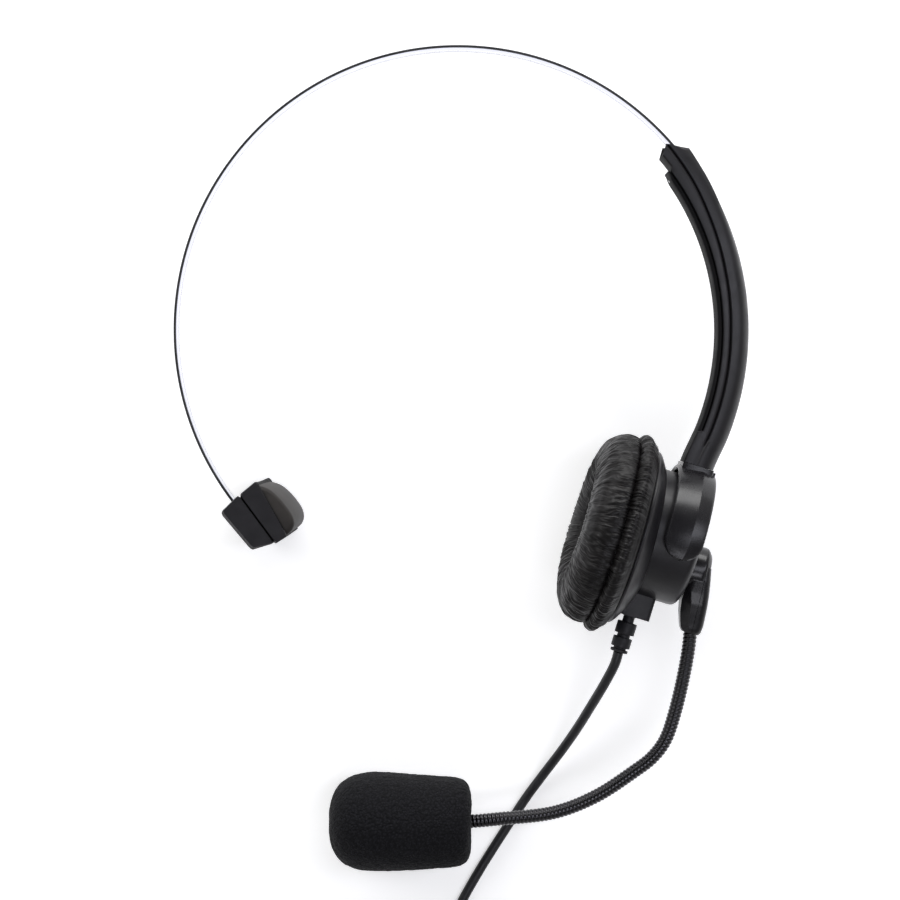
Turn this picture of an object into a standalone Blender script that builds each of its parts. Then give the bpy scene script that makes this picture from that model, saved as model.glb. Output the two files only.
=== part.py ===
"""Single-ear office headset lying on a table, seen from above with +Y towards the crown of its band.

A steel band with a T-shaped temple rest slides in an arm, the arm swivels on a yoke, the yoke tilts on
the ear cup, and the cup carries a microphone on a turning gooseneck boom and a cord that ends in a plug.
Shape tables are in millimetres. MM turns them into metres when points are made."""

import math

import bmesh
import bpy
from mathutils import Matrix, Vector

MM = 0.001

# Layout: the middle plane of the headset lies level, this high above the table.
MID_Z = 27.05
HEAD = Vector((-1.25, 36.65, MID_Z))  # centre of the band's circle
CUP_CENTRE = Vector((40.9, -18.3, MID_Z))  # centre of the cushion's seam
CUP_LEAN = -17.0  # degrees about Z: the cup's axis points this much below +X
CUP_TURN = 2.6  # degrees about the stem: the cushion's face looks slightly up

# Band and its rest
BAND_RADIUS = 77.3
BAND_THICKNESS = 0.75
BAND_HALF_WIDTH = 5.0
BAND_START, BAND_END = -131.0, 96.0  # degrees, clockwise from +Y
REST_ANGLE = -126.5  # where the band enters its rest
REST_HALF_LENGTH = MID_Z
REST_CORNER = 0.12  # as a share of the section's sides
COVER_CORNERS = ((2.0, -4.5, 3.9), (14.9, -3.7, 3.9), (17.0, 2.2, 1.7), (1.1, 2.2, 1.7))
CARRIER_CORNERS = ((1.2, 2.5, 1.7), (17.4, 2.5, 1.7), (17.4, 5.4, 0.2), (1.4, 6.7, 0.2))
PAD_OUTLINE = (
    (1.6, 7.3), (2.6, 10.0), (4.8, 12.1), (8.0, 13.2), (11.0, 13.5), (14.0, 13.3), (16.0, 12.2),
    (17.0, 10.4), (17.3, 8.0), (17.2, 6.1),
)
PAD_FALL = 0.3  # the share of its height that the pad loses at both ends

# Arm
ARM_START, ARM_END = 49.0, 110.0
ARM_HALF_WIDTH = 6.9
ARM_INNER, ARM_SEAM, ARM_OUTER = 70.7, 73.2, 79.9
CHANNEL_FLOOR = 78.0
RIB_TOP = 76.6
CAVITY_START, CAVITY_END = 58.7, 107.2
SCREW_ANGLES = {"arm_screw_upper": 55.8, "arm_screw_lower": 109.6}

# Yoke and stem, in the cup's frame: x out from the head, y up the cup, z up from the table
STEM_X = 17.2
YOKE_X, YOKE_Y = 16.9, 2.75
YOKE_HALF_WIDTH = 4.7
YOKE_INNER, YOKE_OUTER = 18.9, 20.9
JOINT_Y = 23.75  # the plane between the yoke's stem block and the arm
PEG_RADIUS = 2.4
PEG_TOP = 31.2
PIN_RADIUS = 1.5

# Cup
HOUSING_RADIUS = 17.7
HOUSING_END = 24.2
WALL = 1.7
OUTLET_X = 11.75
RELIEF_END = -31.4

# Boom
HUB_Y = -3.6
HUB_RADIUS = 6.6
HUB_START, HUB_END = 24.5, 29.6
BOOM_SPLIT = 27.3
BOOM_TIP = Vector((28.9, -20.6, 0.0))
NECK_RADIUS = 1.95
BEND = Vector((49.9, -83.9, 21.6))  # where the gooseneck's hinge stands
BEND_GAP = 1.2

# Microphone
FOAM_RADIUS = 13.8
FOAM_CENTRE = Vector((-17.4, -100.6, FOAM_RADIUS))

# Cord
CORD_RADIUS = 1.375
COIL_CENTRE = Vector((6.4, -152.3, 0.0))
COIL_RADIUS = 15.0  # of the middle turn
COIL_HALF_WIDTH = 4.35
COIL_BOTTOM, COIL_TOP = 0.5, 11.7
TIE_THICKNESS = 0.35
PLUG_LENGTH, PLUG_HEIGHT, PLUG_DEPTH = 13.4, 7.65, 6.6
PLUG_REAR = Vector((41.8, -175.2, 0.0))
CONTACT_PITCH = 1.02

NECK_ROUTE = [
    (61.95, -53.3, 26.0),
    (58.65, -69.0, 24.3),
    (56.0, -76.8, 23.2),
    (52.5, -81.6, 22.2),
    (47.4, -85.7, 21.2),
    (37.1, -92.7, 19.3),
    (25.8, -97.4, 17.4),
    (9.8, -99.6, 15.2),
    (2.0, -100.4, 14.3),
    (-6.0, -100.6, 13.8),
]
CORD_ROUTE = [
    (42.1, -54.9, 26.7),
    (39.7, -60.2, 23.8),
    (36.3, -66.9, 18.6),
    (32.4, -74.3, 12.6),
    (28.2, -81.3, 7.2),
    (23.3, -88.4, 3.3),
    (18.3, -95.4, 1.75),
    (13.7, -102.5, 1.4),
    (9.5, -109.0, 1.4),
    (5.2, -115.9, 1.4),
    (1.0, -123.2, 1.4),
    (-2.2, -129.3, 1.6),
    (-4.3, -133.0, 1.9),
]
TAIL_ROUTE = [
    (11.0, -172.9, 8.6),
    (15.5, -174.4, 6.4),
    (20.0, -175.5, 4.3),
    (25.0, -176.1, 2.6),
    (30.0, -176.2, 1.9),
    (35.0, -175.8, 2.3),
    (39.0, -175.3, 3.4),
    (41.5, -175.2, 3.8),
]


def metres(point):
    return Vector(point) * MM


CUP = (
    Matrix.Translation(metres(CUP_CENTRE))
    @ Matrix.Rotation(math.radians(CUP_LEAN), 4, "Z")
    @ Matrix.Translation(metres((STEM_X, 0, 0)))
    @ Matrix.Rotation(math.radians(CUP_TURN), 4, "Y")
    @ Matrix.Translation(metres((-STEM_X, 0, 0)))
)
ARM = Matrix.Translation(metres(CUP_CENTRE)) @ Matrix.Rotation(math.radians(CUP_LEAN), 4, "Z")
BAND = Matrix.Translation(metres(HEAD))
WORLD = Matrix.Identity(4)


def clear_scene():
    for thing in list(bpy.data.objects):
        bpy.data.objects.remove(thing, do_unlink=True)


def make_material(name, color, roughness, metallic=0.0):
    material = bpy.data.materials.new(name)
    material.use_nodes = True
    shader = material.node_tree.nodes["Principled BSDF"]
    shader.inputs["Base Color"].default_value = (*color, 1.0)
    shader.inputs["Roughness"].default_value = roughness
    shader.inputs["Metallic"].default_value = metallic
    return material


# Placing -------------------------------------------------------------------------------------------


def empty(name, frame, point=(0, 0, 0)):
    """An empty on a joint's axis: its children are the pieces that move together."""
    helper = bpy.data.objects.new(name, None)
    helper.matrix_world = frame @ Matrix.Translation(metres(point))
    helper.empty_display_size = 5 * MM
    bpy.context.scene.collection.objects.link(helper)
    return helper


def hang(thing, parent):
    """Parents without moving: the object's own matrix stays its place in the world."""
    if parent:
        thing.parent = parent
        thing.matrix_parent_inverse = parent.matrix_world.inverted()


def finish_mesh(name, bm, material, frame, parent):
    bmesh.ops.recalc_face_normals(bm, faces=bm.faces)
    mesh = bpy.data.meshes.new(name)
    bm.to_mesh(mesh)
    bm.free()
    mesh.shade_smooth()
    mesh.set_sharp_from_angle(angle=math.radians(35))
    thing = bpy.data.objects.new(name, mesh)
    bpy.context.scene.collection.objects.link(thing)
    thing.matrix_world = frame
    hang(thing, parent)
    if material:
        mesh.materials.append(material)
    else:
        thing.hide_render = True
        thing.display_type = "WIRE"
    return thing


def combine(thing, operation, others):
    """Stacks Boolean modifiers on a piece."""
    for other in others:
        cut = thing.modifiers.new(operation.lower(), "BOOLEAN")
        cut.operation = operation
        cut.object = other
    return thing


# Shapes --------------------------------------------------------------------------------------------


def loft(name, rings, material=None, frame=WORLD, parent=None):
    """A skin over rings of points, in millimetres, with both ends closed."""
    bm = bmesh.new()
    rows = [[bm.verts.new(metres(point)) for point in ring] for ring in rings]
    count = len(rings[0])
    for low, high in zip(rows, rows[1:]):
        for i in range(count):
            j = (i + 1) % count
            bm.faces.new((low[i], low[j], high[j], high[i]))
    bm.faces.new(rows[0])
    bm.faces.new(rows[-1])
    return finish_mesh(name, bm, material, frame, parent)


def turned(name, profile, steps, material=None, frame=WORLD, parent=None, axis_at=(0, 0), closed=False):
    """A profile of (x, radius) spun about a line along x that passes through axis_at in y and z."""
    bm = bmesh.new()
    y, z = axis_at
    points = [bm.verts.new(metres((x, y + radius, z))) for x, radius in profile]
    pairs = list(zip(points, points[1:])) + ([(points[-1], points[0])] if closed else [])
    edges = [bm.edges.new(pair) for pair in pairs]
    bmesh.ops.spin(
        bm,
        geom=points + edges,
        cent=metres((0, y, z)),
        axis=(1, 0, 0),
        angle=math.tau,
        steps=steps,
        use_merge=True,
    )
    bmesh.ops.remove_doubles(bm, verts=bm.verts, dist=1e-6)
    return finish_mesh(name, bm, material, frame, parent)


def box(name, low, high, material=None, frame=WORLD, parent=None, bevel=0.0, segments=2):
    bm = bmesh.new()
    low, high = metres(low), metres(high)
    bmesh.ops.create_cube(bm, size=1.0)
    for vert in bm.verts:
        for i in range(3):
            vert.co[i] = high[i] if vert.co[i] > 0 else low[i]
    if bevel:
        bmesh.ops.bevel(
            bm, geom=bm.edges, offset=bevel * MM, segments=segments, profile=0.5, affect="EDGES"
        )
    return finish_mesh(name, bm, material, frame, parent)


def rounded(low_x, high_x, low_y, high_y, radius, steps=3):
    """An outline with four round corners, counter-clockwise."""
    corners = ((high_x, high_y, 0), (low_x, high_y, 90), (low_x, low_y, 180), (high_x, low_y, 270))
    outline = []
    for x, y, start in corners:
        centre_x = x - radius if x == high_x else x + radius
        centre_y = y - radius if y == high_y else y + radius
        for i in range(steps + 1):
            angle = math.radians(start + 90 * i / steps)
            outline.append((centre_x + radius * math.cos(angle), centre_y + radius * math.sin(angle)))
    return outline


def polar(radius, degrees, z=0.0):
    """A point round the head's centre, clockwise from +Y."""
    angle = math.radians(degrees)
    return Vector((radius * math.sin(angle), radius * math.cos(angle), z))


def spread(start, end, count):
    return [start + (end - start) * i / (count - 1) for i in range(count)]


def arc_bar(name, inner, outer, half_width, start, end, steps, material=None, parent=None):
    """A bar of rectangular section bent round the head's centre."""
    rings = [
        [
            polar(radius, angle, z)
            for radius, z in (
                (inner, -half_width),
                (outer, -half_width),
                (outer, half_width),
                (inner, half_width),
            )
        ]
        for angle in spread(start, end, steps + 1)
    ]
    return loft(name, rings, material, BAND, parent)


def smooth_route(points, spacing):
    """Points at an even spacing along a smooth curve through the given ones."""
    points = [Vector(point) for point in points]
    path = [points[0] * 2 - points[1], *points, points[-1] * 2 - points[-2]]
    fine = []
    for a, b, c, d in zip(path, path[1:], path[2:], path[3:]):
        knots = [0.0]
        for p, q in ((a, b), (b, c), (c, d)):
            knots.append(knots[-1] + (q - p).length ** 0.5)
        for i in range(24):
            t = knots[1] + (knots[2] - knots[1]) * i / 24
            first = [
                p.lerp(q, (t - low) / (high - low))
                for p, q, low, high in zip((a, b, c), (b, c, d), knots, knots[1:])
            ]
            second = [
                p.lerp(q, (t - low) / (high - low))
                for p, q, low, high in zip(first, first[1:], knots, knots[2:])
            ]
            fine.append(second[0].lerp(second[1], (t - knots[1]) / (knots[2] - knots[1])))
    fine.append(points[-1])
    length = sum((q - p).length for p, q in zip(fine, fine[1:]))
    count = max(2, round(length / spacing) + 1)
    marks = [length * i / (count - 1) for i in range(count)]
    route, walked, at = [fine[0]], 0.0, 0
    for mark in marks[1:-1]:
        while walked + (fine[at + 1] - fine[at]).length < mark:
            walked += (fine[at + 1] - fine[at]).length
            at += 1
        step = (fine[at + 1] - fine[at]).length
        route.append(fine[at].lerp(fine[at + 1], (mark - walked) / step))
    return route + [fine[-1]]


def tube(name, points, radius, material, parent):
    """A round tube along points in millimetres, with filled caps."""
    data = bpy.data.curves.new(name, "CURVE")
    data.dimensions = "3D"
    data.bevel_depth = radius * MM
    data.bevel_resolution = 2
    data.use_fill_caps = True
    spline = data.splines.new("POLY")
    spline.points.add(len(points) - 1)
    for place, point in zip(spline.points, points):
        place.co = (*metres(point), 1.0)
    data.materials.append(material)
    thing = bpy.data.objects.new(name, data)
    bpy.context.scene.collection.objects.link(thing)
    hang(thing, parent)
    return thing


def frame_along(direction, origin):
    """A frame whose x axis points along a direction, with origin in millimetres."""
    turn = Vector((1, 0, 0)).rotation_difference(Vector(direction)).to_matrix().to_4x4()
    return Matrix.Translation(metres(origin)) @ turn


# Band and temple rest ------------------------------------------------------------------------------


def make_band(steel, plastic, rubber, hub):
    half = BAND_THICKNESS / 2
    arc_bar(
        "headband", BAND_RADIUS - half, BAND_RADIUS + half, BAND_HALF_WIDTH,
        BAND_START, BAND_END, 54, steel, hub,
    )
    arc_bar("band_stop", 74.6, 76.6, 2.0, BAND_END - 2.5, BAND_END, 2, plastic, hub)

    place = Matrix.Translation(metres(polar(BAND_RADIUS, REST_ANGLE)))
    along = Matrix.Rotation(math.radians(REST_ANGLE + 180 - 107), 4, "Z")
    rest = BAND @ place @ along
    shell = loft("rest_cover", bowed_rings(COVER_CORNERS, REST_HALF_LENGTH), plastic, rest, hub)
    slot = box("rest_slot", (-2, -1.0, -5.5), (9.5, 1.7, 5.5), None, rest, hub)
    combine(shell, "DIFFERENCE", [slot])
    loft("rest_carrier", bowed_rings(CARRIER_CORNERS, REST_HALF_LENGTH - 0.15), plastic, rest, hub)
    loft("temple_pad", pad_rings(), rubber, rest, hub)


def bowed_rings(corners, half_length):
    """Sections of the T-bar. Each corner is (t, n, bow): t runs on from the band's end, n towards the head,
    and the bow is how far n has moved at both ends of the bar."""
    rings = []
    for z in spread(-half_length, half_length, 9):
        bent = [(t, n + bow * (z / half_length) ** 2) for t, n, bow in corners]
        ring = []
        for u, v in rounded(0, 1, 0, 1, REST_CORNER, 2):
            low = [a + (b - a) * u for a, b in zip(bent[0], bent[1])]
            high = [a + (b - a) * u for a, b in zip(bent[3], bent[2])]
            ring.append((low[0] + (high[0] - low[0]) * v, low[1] + (high[1] - low[1]) * v, z))
        rings.append(ring)
    return rings


def pad_rings():
    """The rubber pad: a rounded section, a little lower and shorter at both ends of the T-bar."""
    base = PAD_OUTLINE[0][1]
    middle = (PAD_OUTLINE[0][0] + PAD_OUTLINE[-1][0]) / 2
    rings = []
    for z in (-25.5, -24.8, -18.0, -9.0, 0.0, 9.0, 18.0, 24.8, 25.5):
        edge = 0.92 if abs(z) > 25 else 1.0
        height = (1 - PAD_FALL * (z / 25.5) ** 2) * edge
        rings.append(
            [
                (middle + (t - middle) * edge, base + (n - base) * (height if n > base else 1.0), z)
                for t, n in PAD_OUTLINE
            ]
        )
    return rings


# Arm -----------------------------------------------------------------------------------------------


def arm_section(centre, along, half_thickness, half_width, corner):
    """A rounded section across a path: its first axis points away from the head."""
    across = Vector((along[1], -along[0], 0)).normalized() * -1
    return [
        Vector(centre) + across * a + Vector((0, 0, z))
        for a, z in rounded(-half_thickness, half_thickness, -half_width, half_width, corner, 3)
    ]


def arm_rings():
    """The whole arm: a curved sleeve that straightens into a collar on the yoke's stem."""
    to_head = BAND.inverted() @ ARM
    end = (to_head @ metres((STEM_X, JOINT_Y + 0.3, 0))) / MM
    down = (to_head.to_3x3() @ Vector((0, -1, 0))).normalized()
    rings = []
    slope = {49.0: 77.9, 50.5: 78.5, 52.5: 79.2, 55.0: 79.6}
    angles = list(slope) + spread(58.0, ARM_END, 14)
    for angle in angles:
        outer = slope.get(angle, ARM_OUTER)
        middle, half = (outer + ARM_INNER) / 2, (outer - ARM_INNER) / 2
        turn = math.radians(angle)
        along = Vector((math.cos(turn), -math.sin(turn), 0))
        rings.append(arm_section(polar(middle, angle), along, half, ARM_HALF_WIDTH, 1.6))
    for back in (7.4, 3.5, 0.0):
        rings.append(arm_section(end - down * back, down, 4.6, ARM_HALF_WIDTH - 0.3, 1.6))
    return rings


def make_arm(plastic, steel, hub):
    shell = loft("arm_shell", arm_rings(), plastic, BAND, hub)
    notch = arc_bar("arm_notch", 68.0, ARM_SEAM, 9.0, 40.0, 112.0, 24, None, hub)
    cavity = arc_bar("arm_cavity", 72.0, CHANNEL_FLOOR, 5.5, CAVITY_START, CAVITY_END, 22, None, hub)
    mouth = arc_bar("arm_mouth", RIB_TOP, CHANNEL_FLOOR - 0.03, 5.4, 45.0, CAVITY_START + 1, 8, None, hub)
    socket = turned(
        "stem_socket",
        [(-1, 0), (-1, 2.75), (5.3, 2.75), (5.3, 3.35), (6.9, 3.35), (6.9, 2.75), (7.9, 2.75), (7.9, 0)],
        24, None,
        ARM @ Matrix.Translation(metres((STEM_X, JOINT_Y, 0))) @ Matrix.Rotation(math.pi / 2, 4, "Z"),
        hub,
    )
    cover = arc_bar(
        "arm_cover", ARM_INNER, ARM_SEAM - 0.3, ARM_HALF_WIDTH, 53.4, 111.6, 26, plastic, hub
    )
    edge = cover.modifiers.new("edge", "BEVEL")
    edge.width = 0.7 * MM
    edge.segments = 2
    edge.limit_method = "ANGLE"
    edge.angle_limit = math.radians(50)
    rib = arc_bar(
        "cover_rib", ARM_SEAM - 1.0, RIB_TOP, 5.1, CAVITY_START + 0.6, CAVITY_END - 0.5, 22, None, hub
    )
    track = arc_bar("stop_track", 74.2, 77.5, 2.4, 74.0, CAVITY_END + 1, 12, None, hub)
    pocket = arc_bar("spring_pocket", 75.0, 77.5, 2.4, 61.0, 71.0, 5, None, hub)
    combine(cover, "UNION", [rib])
    combine(cover, "DIFFERENCE", [track, pocket])
    combine(shell, "DIFFERENCE", [notch, cavity, mouth, socket])
    for name, angle in SCREW_ANGLES.items():
        place = BAND @ frame_along(polar(1, angle), polar(1, angle) * 0)
        profile = [(70.9, 0), (70.9, 1.5), (71.8, 1.5), (72.3, 0.8), (75.6, 0.8), (75.9, 0)]
        turned(name, profile, 16, steel, place, hub)
        hole = [(69, 0), (69, 1.85), (72.15, 1.85), (72.6, 1.1), (76.2, 1.1), (76.2, 0)]
        bore = turned(name + "_bore", hole, 16, None, place, hub)
        combine(cover, "DIFFERENCE", [bore])
        combine(shell, "DIFFERENCE", [bore])
    rings = []
    for angle in spread(61.6, 70.4, 9):
        bow = 0.85 * math.cos(math.radians((angle - 66.0) / 4.4 * 90))
        rings.append(
            [
                polar(75.35 + bow + lift, angle, z)
                for lift, z in ((0, -1.8), (0.3, -1.8), (0.3, 1.8), (0, 1.8))
            ]
        )
    loft("friction_spring", rings, steel, BAND, hub)


# Yoke ----------------------------------------------------------------------------------------------


def yoke_rings():
    """A C round the housing, ridged along its middle, with round ends at the pivots."""
    reach = 104.0
    rings = []
    for angle in spread(-reach, reach, 33):
        past = max(0.0, (abs(angle) - 92.0) / (reach - 92.0))
        half = YOKE_HALF_WIDTH * math.sqrt(max(0.05, 1 - past**2))
        turn = math.radians(angle)
        section = (
            (-half, YOKE_INNER), (-half, YOKE_OUTER - 0.45), (0, YOKE_OUTER),
            (half, YOKE_OUTER - 0.45), (half, YOKE_INNER),
        )
        rings.append(
            [
                (YOKE_X + dx, YOKE_Y + radius * math.cos(turn), radius * math.sin(turn))
                for dx, radius in section
            ]
        )
    return rings


def make_yoke(plastic, steel, hub):
    yoke = loft("yoke", yoke_rings(), plastic, CUP, hub)
    block = box(
        "stem_block", (STEM_X - 4.4, 21.9, -6.6), (STEM_X + 4.4, JOINT_Y, 6.6), None, CUP, hub, 0.5
    )
    upright = Matrix.Translation(metres((STEM_X, 0, 0))) @ Matrix.Rotation(math.pi / 2, 4, "Z")
    peg = turned(
        "stem_peg",
        [
            (21.0, 0), (21.0, PEG_RADIUS), (29.2, PEG_RADIUS), (29.2, 1.7), (30.5, 1.7),
            (30.5, PEG_RADIUS), (PEG_TOP - 0.4, PEG_RADIUS), (PEG_TOP, PEG_RADIUS - 0.4), (PEG_TOP, 0),
        ],
        24, None, CUP @ upright, hub,
    )
    combine(yoke, "UNION", [block, peg])
    turned(
        "stem_clip", [(29.5, 2.0), (30.2, 2.0), (30.2, 3.05), (29.5, 3.05)], 24, steel, CUP @ upright, hub,
        closed=True,
    )
    for name, side in (("pivot_pin_upper", 1), ("pivot_pin_lower", -1)):
        place = CUP @ frame_along((0, 0, side), (YOKE_X, YOKE_Y, 0))
        hole = turned(
            name + "_seat", [(17.0, 0), (17.0, 1.75), (20.3, 1.75), (20.3, 0)], 20, None, place, hub
        )
        combine(yoke, "DIFFERENCE", [hole])
        turned(
            name, [(14.6, 0), (14.6, 1.2), (14.9, PIN_RADIUS), (20.05, PIN_RADIUS), (20.05, 0)],
            20, steel, place, hub,
        )


# Cup -----------------------------------------------------------------------------------------------


def make_shell(plastic, hub):
    bowl = [(5.75, 0), (5.75, 24.9), (6.9, 24.6), (9.4, 20.3), (11.2, 15.2), (12.4, 11.0), (12.4, 0)]
    shell = turned("cup_shell", bowl, 40, plastic, CUP, hub)
    round_end = [
        (HOUSING_END - 3.0 + 3.0 * math.sin(a), HOUSING_RADIUS - 3.0 + 3.0 * math.cos(a))
        for a in (math.radians(d) for d in (0, 22.5, 45, 67.5, 90))
    ]
    axis = (YOKE_Y, 0)
    drum = turned(
        "housing_drum", [(7.2, 0), (7.2, HOUSING_RADIUS), *round_end, (HOUSING_END, 0)],
        40, None, CUP, hub, axis,
    )
    outlet = box("cord_outlet", (8.3, -21.7, -4.4), (16.9, -9.0, 4.4), None, CUP, hub, 1.0)
    bowl_room = [(5.0, 0), (5.0, 22.4), (7.5, 22.4), (7.6, 20.3), (9.3, 17.4), (10.6, 13.0), (10.6, 0)]
    inner = turned("bowl_room", bowl_room, 36, None, CUP, hub)
    drum_room = turned(
        "drum_room",
        [(6.5, 0), (6.5, 16.0), (HOUSING_END - 4.2, 16.0), (HOUSING_END - WALL, 13.6),
         (HOUSING_END - WALL, 0)],
        36, None, CUP, hub, axis,
    )
    bore = turned("boom_bore", [(20, 0), (20, 1.75), (26, 1.75), (26, 0)], 20, None, CUP, hub, (HUB_Y, 0))
    pivots = turned(
        "pivot_bore", [(-25, 0), (-25, 1.8), (25, 1.8), (25, 0)], 20, None,
        CUP @ frame_along((0, 0, 1), (YOKE_X, YOKE_Y, 0)), hub,
    )
    gland = turned(
        "gland_bore", [(10, 0), (10, 1.6), (16.6, 1.6), (16.6, 2.3), (23, 2.3), (23, 0)], 20, None,
        CUP @ frame_along((0, -1, 0), (OUTLET_X, 0, 0)), hub,
    )
    combine(shell, "UNION", [drum, outlet])
    combine(shell, "DIFFERENCE", [inner, drum_room, bore, pivots, gland])


def make_speaker(parts, hub):
    turned(
        "cup_baffle",
        [(6.1, 3.0), (6.1, 22.0), (7.2, 22.0), (7.2, 11.8), (8.3, 11.8), (8.3, 10.4), (7.0, 10.4),
         (7.0, 3.0)],
        36, parts["plastic"], CUP, hub, closed=True,
    )
    turned("speaker_diaphragm", dome_profile(), 28, parts["film"], CUP, hub, closed=False)
    turned(
        "speaker_frame",
        [(8.4, 8.0), (8.4, 10.0), (9.2, 10.0), (11.2, 7.6), (11.2, 3.0), (10.4, 3.0), (10.4, 6.6),
         (9.0, 8.0)],
        28, parts["steel"], CUP, hub, closed=True,
    )
    turned(
        "speaker_magnet", [(11.5, 0), (11.5, 6.4), (13.9, 6.4), (14.2, 6.1), (14.2, 0)],
        24, parts["steel"], CUP, hub,
    )
    turned("speaker_cloth", [(4.9, 0), (4.9, 10.6), (5.7, 10.6), (5.7, 0)], 28, parts["foam"], CUP, hub)


def dome_profile():
    """A thin domed film."""
    front = [(7.9 - 0.5 * math.cos(math.radians(90 * i / 4)), 8.8 * i / 4) for i in range(5)]
    back = [(x + 0.25, radius) for x, radius in reversed(front)]
    return front + back


def cushion_profile():
    """The ring cushion: a full front roll, a stitched seam and a smaller rear roll."""
    front = [(-8.6, 15.5), (-9.7, 17.8), (-9.5, 20.4), (-7.8, 23.9), (-5.6, 25.7), (-3.0, 26.4), (-0.3, 26.2)]
    rear = [(0.6, 26.9), (1.8, 27.7), (3.4, 27.2), (4.8, 25.6), (5.4, 23.6)]
    hole = [(5.4, 11.0), (-3.0, 11.0), (-6.4, 12.2)]
    return front + rear + hole


def make_cushion(leather, hub):
    turned("ear_cushion", cushion_profile(), 40, leather, CUP, hub, closed=True)


def make_relief(rubber, hub):
    """A segmented strain relief on the cord's line, from its anchor inside the outlet to its flange."""
    steps = [
        (17.0, 0), (17.0, 1.95), (21.2, 1.95), (21.2, 1.55), (22.9, 1.55), (22.9, 2.6), (23.2, 2.75),
        (26.0, 2.75), (26.3, 2.6), (26.3, 1.8), (27.2, 1.8), (27.2, 2.5), (27.5, 2.65), (29.8, 2.65),
        (30.1, 2.5), (30.1, 1.75), (30.6, 1.75), (30.6, 2.45), (-RELIEF_END, 2.35), (-RELIEF_END, 0),
    ]
    turned("strain_relief", steps, 20, rubber, CUP @ frame_along((0, -1, 0), (OUTLET_X, 0, 0)), hub)


# Boom and microphone -------------------------------------------------------------------------------


def boom_rings():
    """The boom's lever: it widens over the edge of the housing, then tapers to its tip."""
    rows = (
        (-2.0, HUB_START, HUB_END, 5.9), (-9.0, HUB_START, 30.2, 5.9), (-14.0, 24.6, 30.9, 5.0),
        (-17.5, 25.2, 31.3, 4.1), (BOOM_TIP.y + 0.8, 26.0, 31.7, 3.4), (BOOM_TIP.y, 26.6, 31.2, 2.9),
    )
    return [
        [(x, y, z) for x, z in rounded(low, high, -half, half, 1.3, 2)] for y, low, high, half in rows
    ]


def make_boom(plastic, steel, rubber, hub):
    cap = [
        (HUB_START, 0), (HUB_START, HUB_RADIUS), (HUB_END - 1.6, HUB_RADIUS), (HUB_END, HUB_RADIUS - 1.9),
        (HUB_END, 0),
    ]
    neck_hole = turned(
        "neck_socket", [(0, 0), (0, 2.3), (9, 2.3), (9, 0)], 20, None,
        CUP @ frame_along((0.12, -1, 0), (28.3, -15.6, 0)), hub,
    )
    screw_hole = turned(
        "boom_screw_bore", [(20, 0), (20, 1.75), (27.6, 1.75), (27.6, 0)], 20, None, CUP, hub, (HUB_Y, 0)
    )
    washer_seat = turned(
        "washer_seat", [(24, 0), (24, 5.0), (25.4, 5.0), (25.4, 0)], 24, None, CUP, hub, (HUB_Y, 0)
    )
    lean = Matrix.Translation(metres((BOOM_SPLIT, HUB_Y, 0))) @ Matrix.Rotation(math.radians(5), 4, "Z")
    for name, low, high in (("boom_inner_shell", -0.15, 30), ("boom_outer_shell", -30, 0.15)):
        half = loft(name, boom_rings(), plastic, CUP, hub)
        disc = turned(name + "_hub", cap, 32, None, CUP, hub, (HUB_Y, 0))
        away = box(name + "_half", (low, -40, -20), (high, 20, 20), None, CUP @ lean, hub)
        combine(half, "UNION", [disc])
        combine(half, "DIFFERENCE", [away, neck_hole, screw_hole, washer_seat])
    turned(
        "boom_washer", [(24.5, 2.1), (24.5, 4.7), (25.1, 4.7), (25.1, 2.1)], 24, rubber, CUP, hub,
        (HUB_Y, 0), closed=True,
    )
    turned(
        "boom_screw",
        [(20.6, 0), (20.6, 2.8), (21.4, 3.0), (22.2, 3.0), (22.2, 1.4), (27.0, 1.4), (27.3, 1.1), (27.3, 0)],
        20, steel, CUP, hub, (HUB_Y, 0),
    )


def neck_points():
    start = (CUP @ metres((28.35, -16.4, 0))) / MM
    return smooth_route([start, *NECK_ROUTE], 4.0)


def make_gooseneck(steel, upper_hub, lower_hub):
    """The gooseneck in two lengths, parted where its hinge stands."""
    points = neck_points()
    clear = BEND_GAP / 2
    near = min(range(len(points)), key=lambda i: (points[i] - BEND).length)
    middle = points[near]
    before = (points[near - 1] - middle).normalized()
    after = (points[near + 1] - middle).normalized()
    tube("gooseneck_upper", [*points[:near], middle + before * clear], NECK_RADIUS, steel, upper_hub)
    tube("gooseneck_lower", [middle + after * clear, *points[near + 1 :]], NECK_RADIUS, steel, lower_hub)


def make_microphone(plastic, brass, foam, hub):
    # x runs away from the gooseneck in this frame
    place = Matrix.Translation(metres(FOAM_CENTRE)) @ Matrix.Rotation(math.pi, 4, "Z")
    turned(
        "mic_housing",
        [(-11.1, 0), (-11.1, 2.4), (-8.6, 4.0), (-1.6, 4.0), (-1.6, 3.2), (-7.1, 3.2), (-7.1, 0)],
        24, plastic, place, hub,
    )
    turned("mic_capsule", [(0.3, 0), (0.3, 2.9), (4.6, 2.9), (4.9, 2.7), (4.9, 0)], 20, brass,
           place @ Matrix.Translation(metres((-6.9, 0, 0))), hub)
    outer = [
        (-19.4, 9.6), (-18.6, 11.4), (-14.0, 12.6), (-4.0, 13.4), (5.0, FOAM_RADIUS), (12.0, 13.2),
        (16.6, 11.4), (19.0, 8.0), (19.9, 4.0), (20.1, 0),
    ]
    hollow = [(0.5, 0), (0.5, 4.4), (-13.0, 4.4), (-15.0, 2.5), (-19.4, 2.5)]
    turned("windscreen", hollow + outer, 32, foam, place, hub)


# Cord ----------------------------------------------------------------------------------------------


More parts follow.
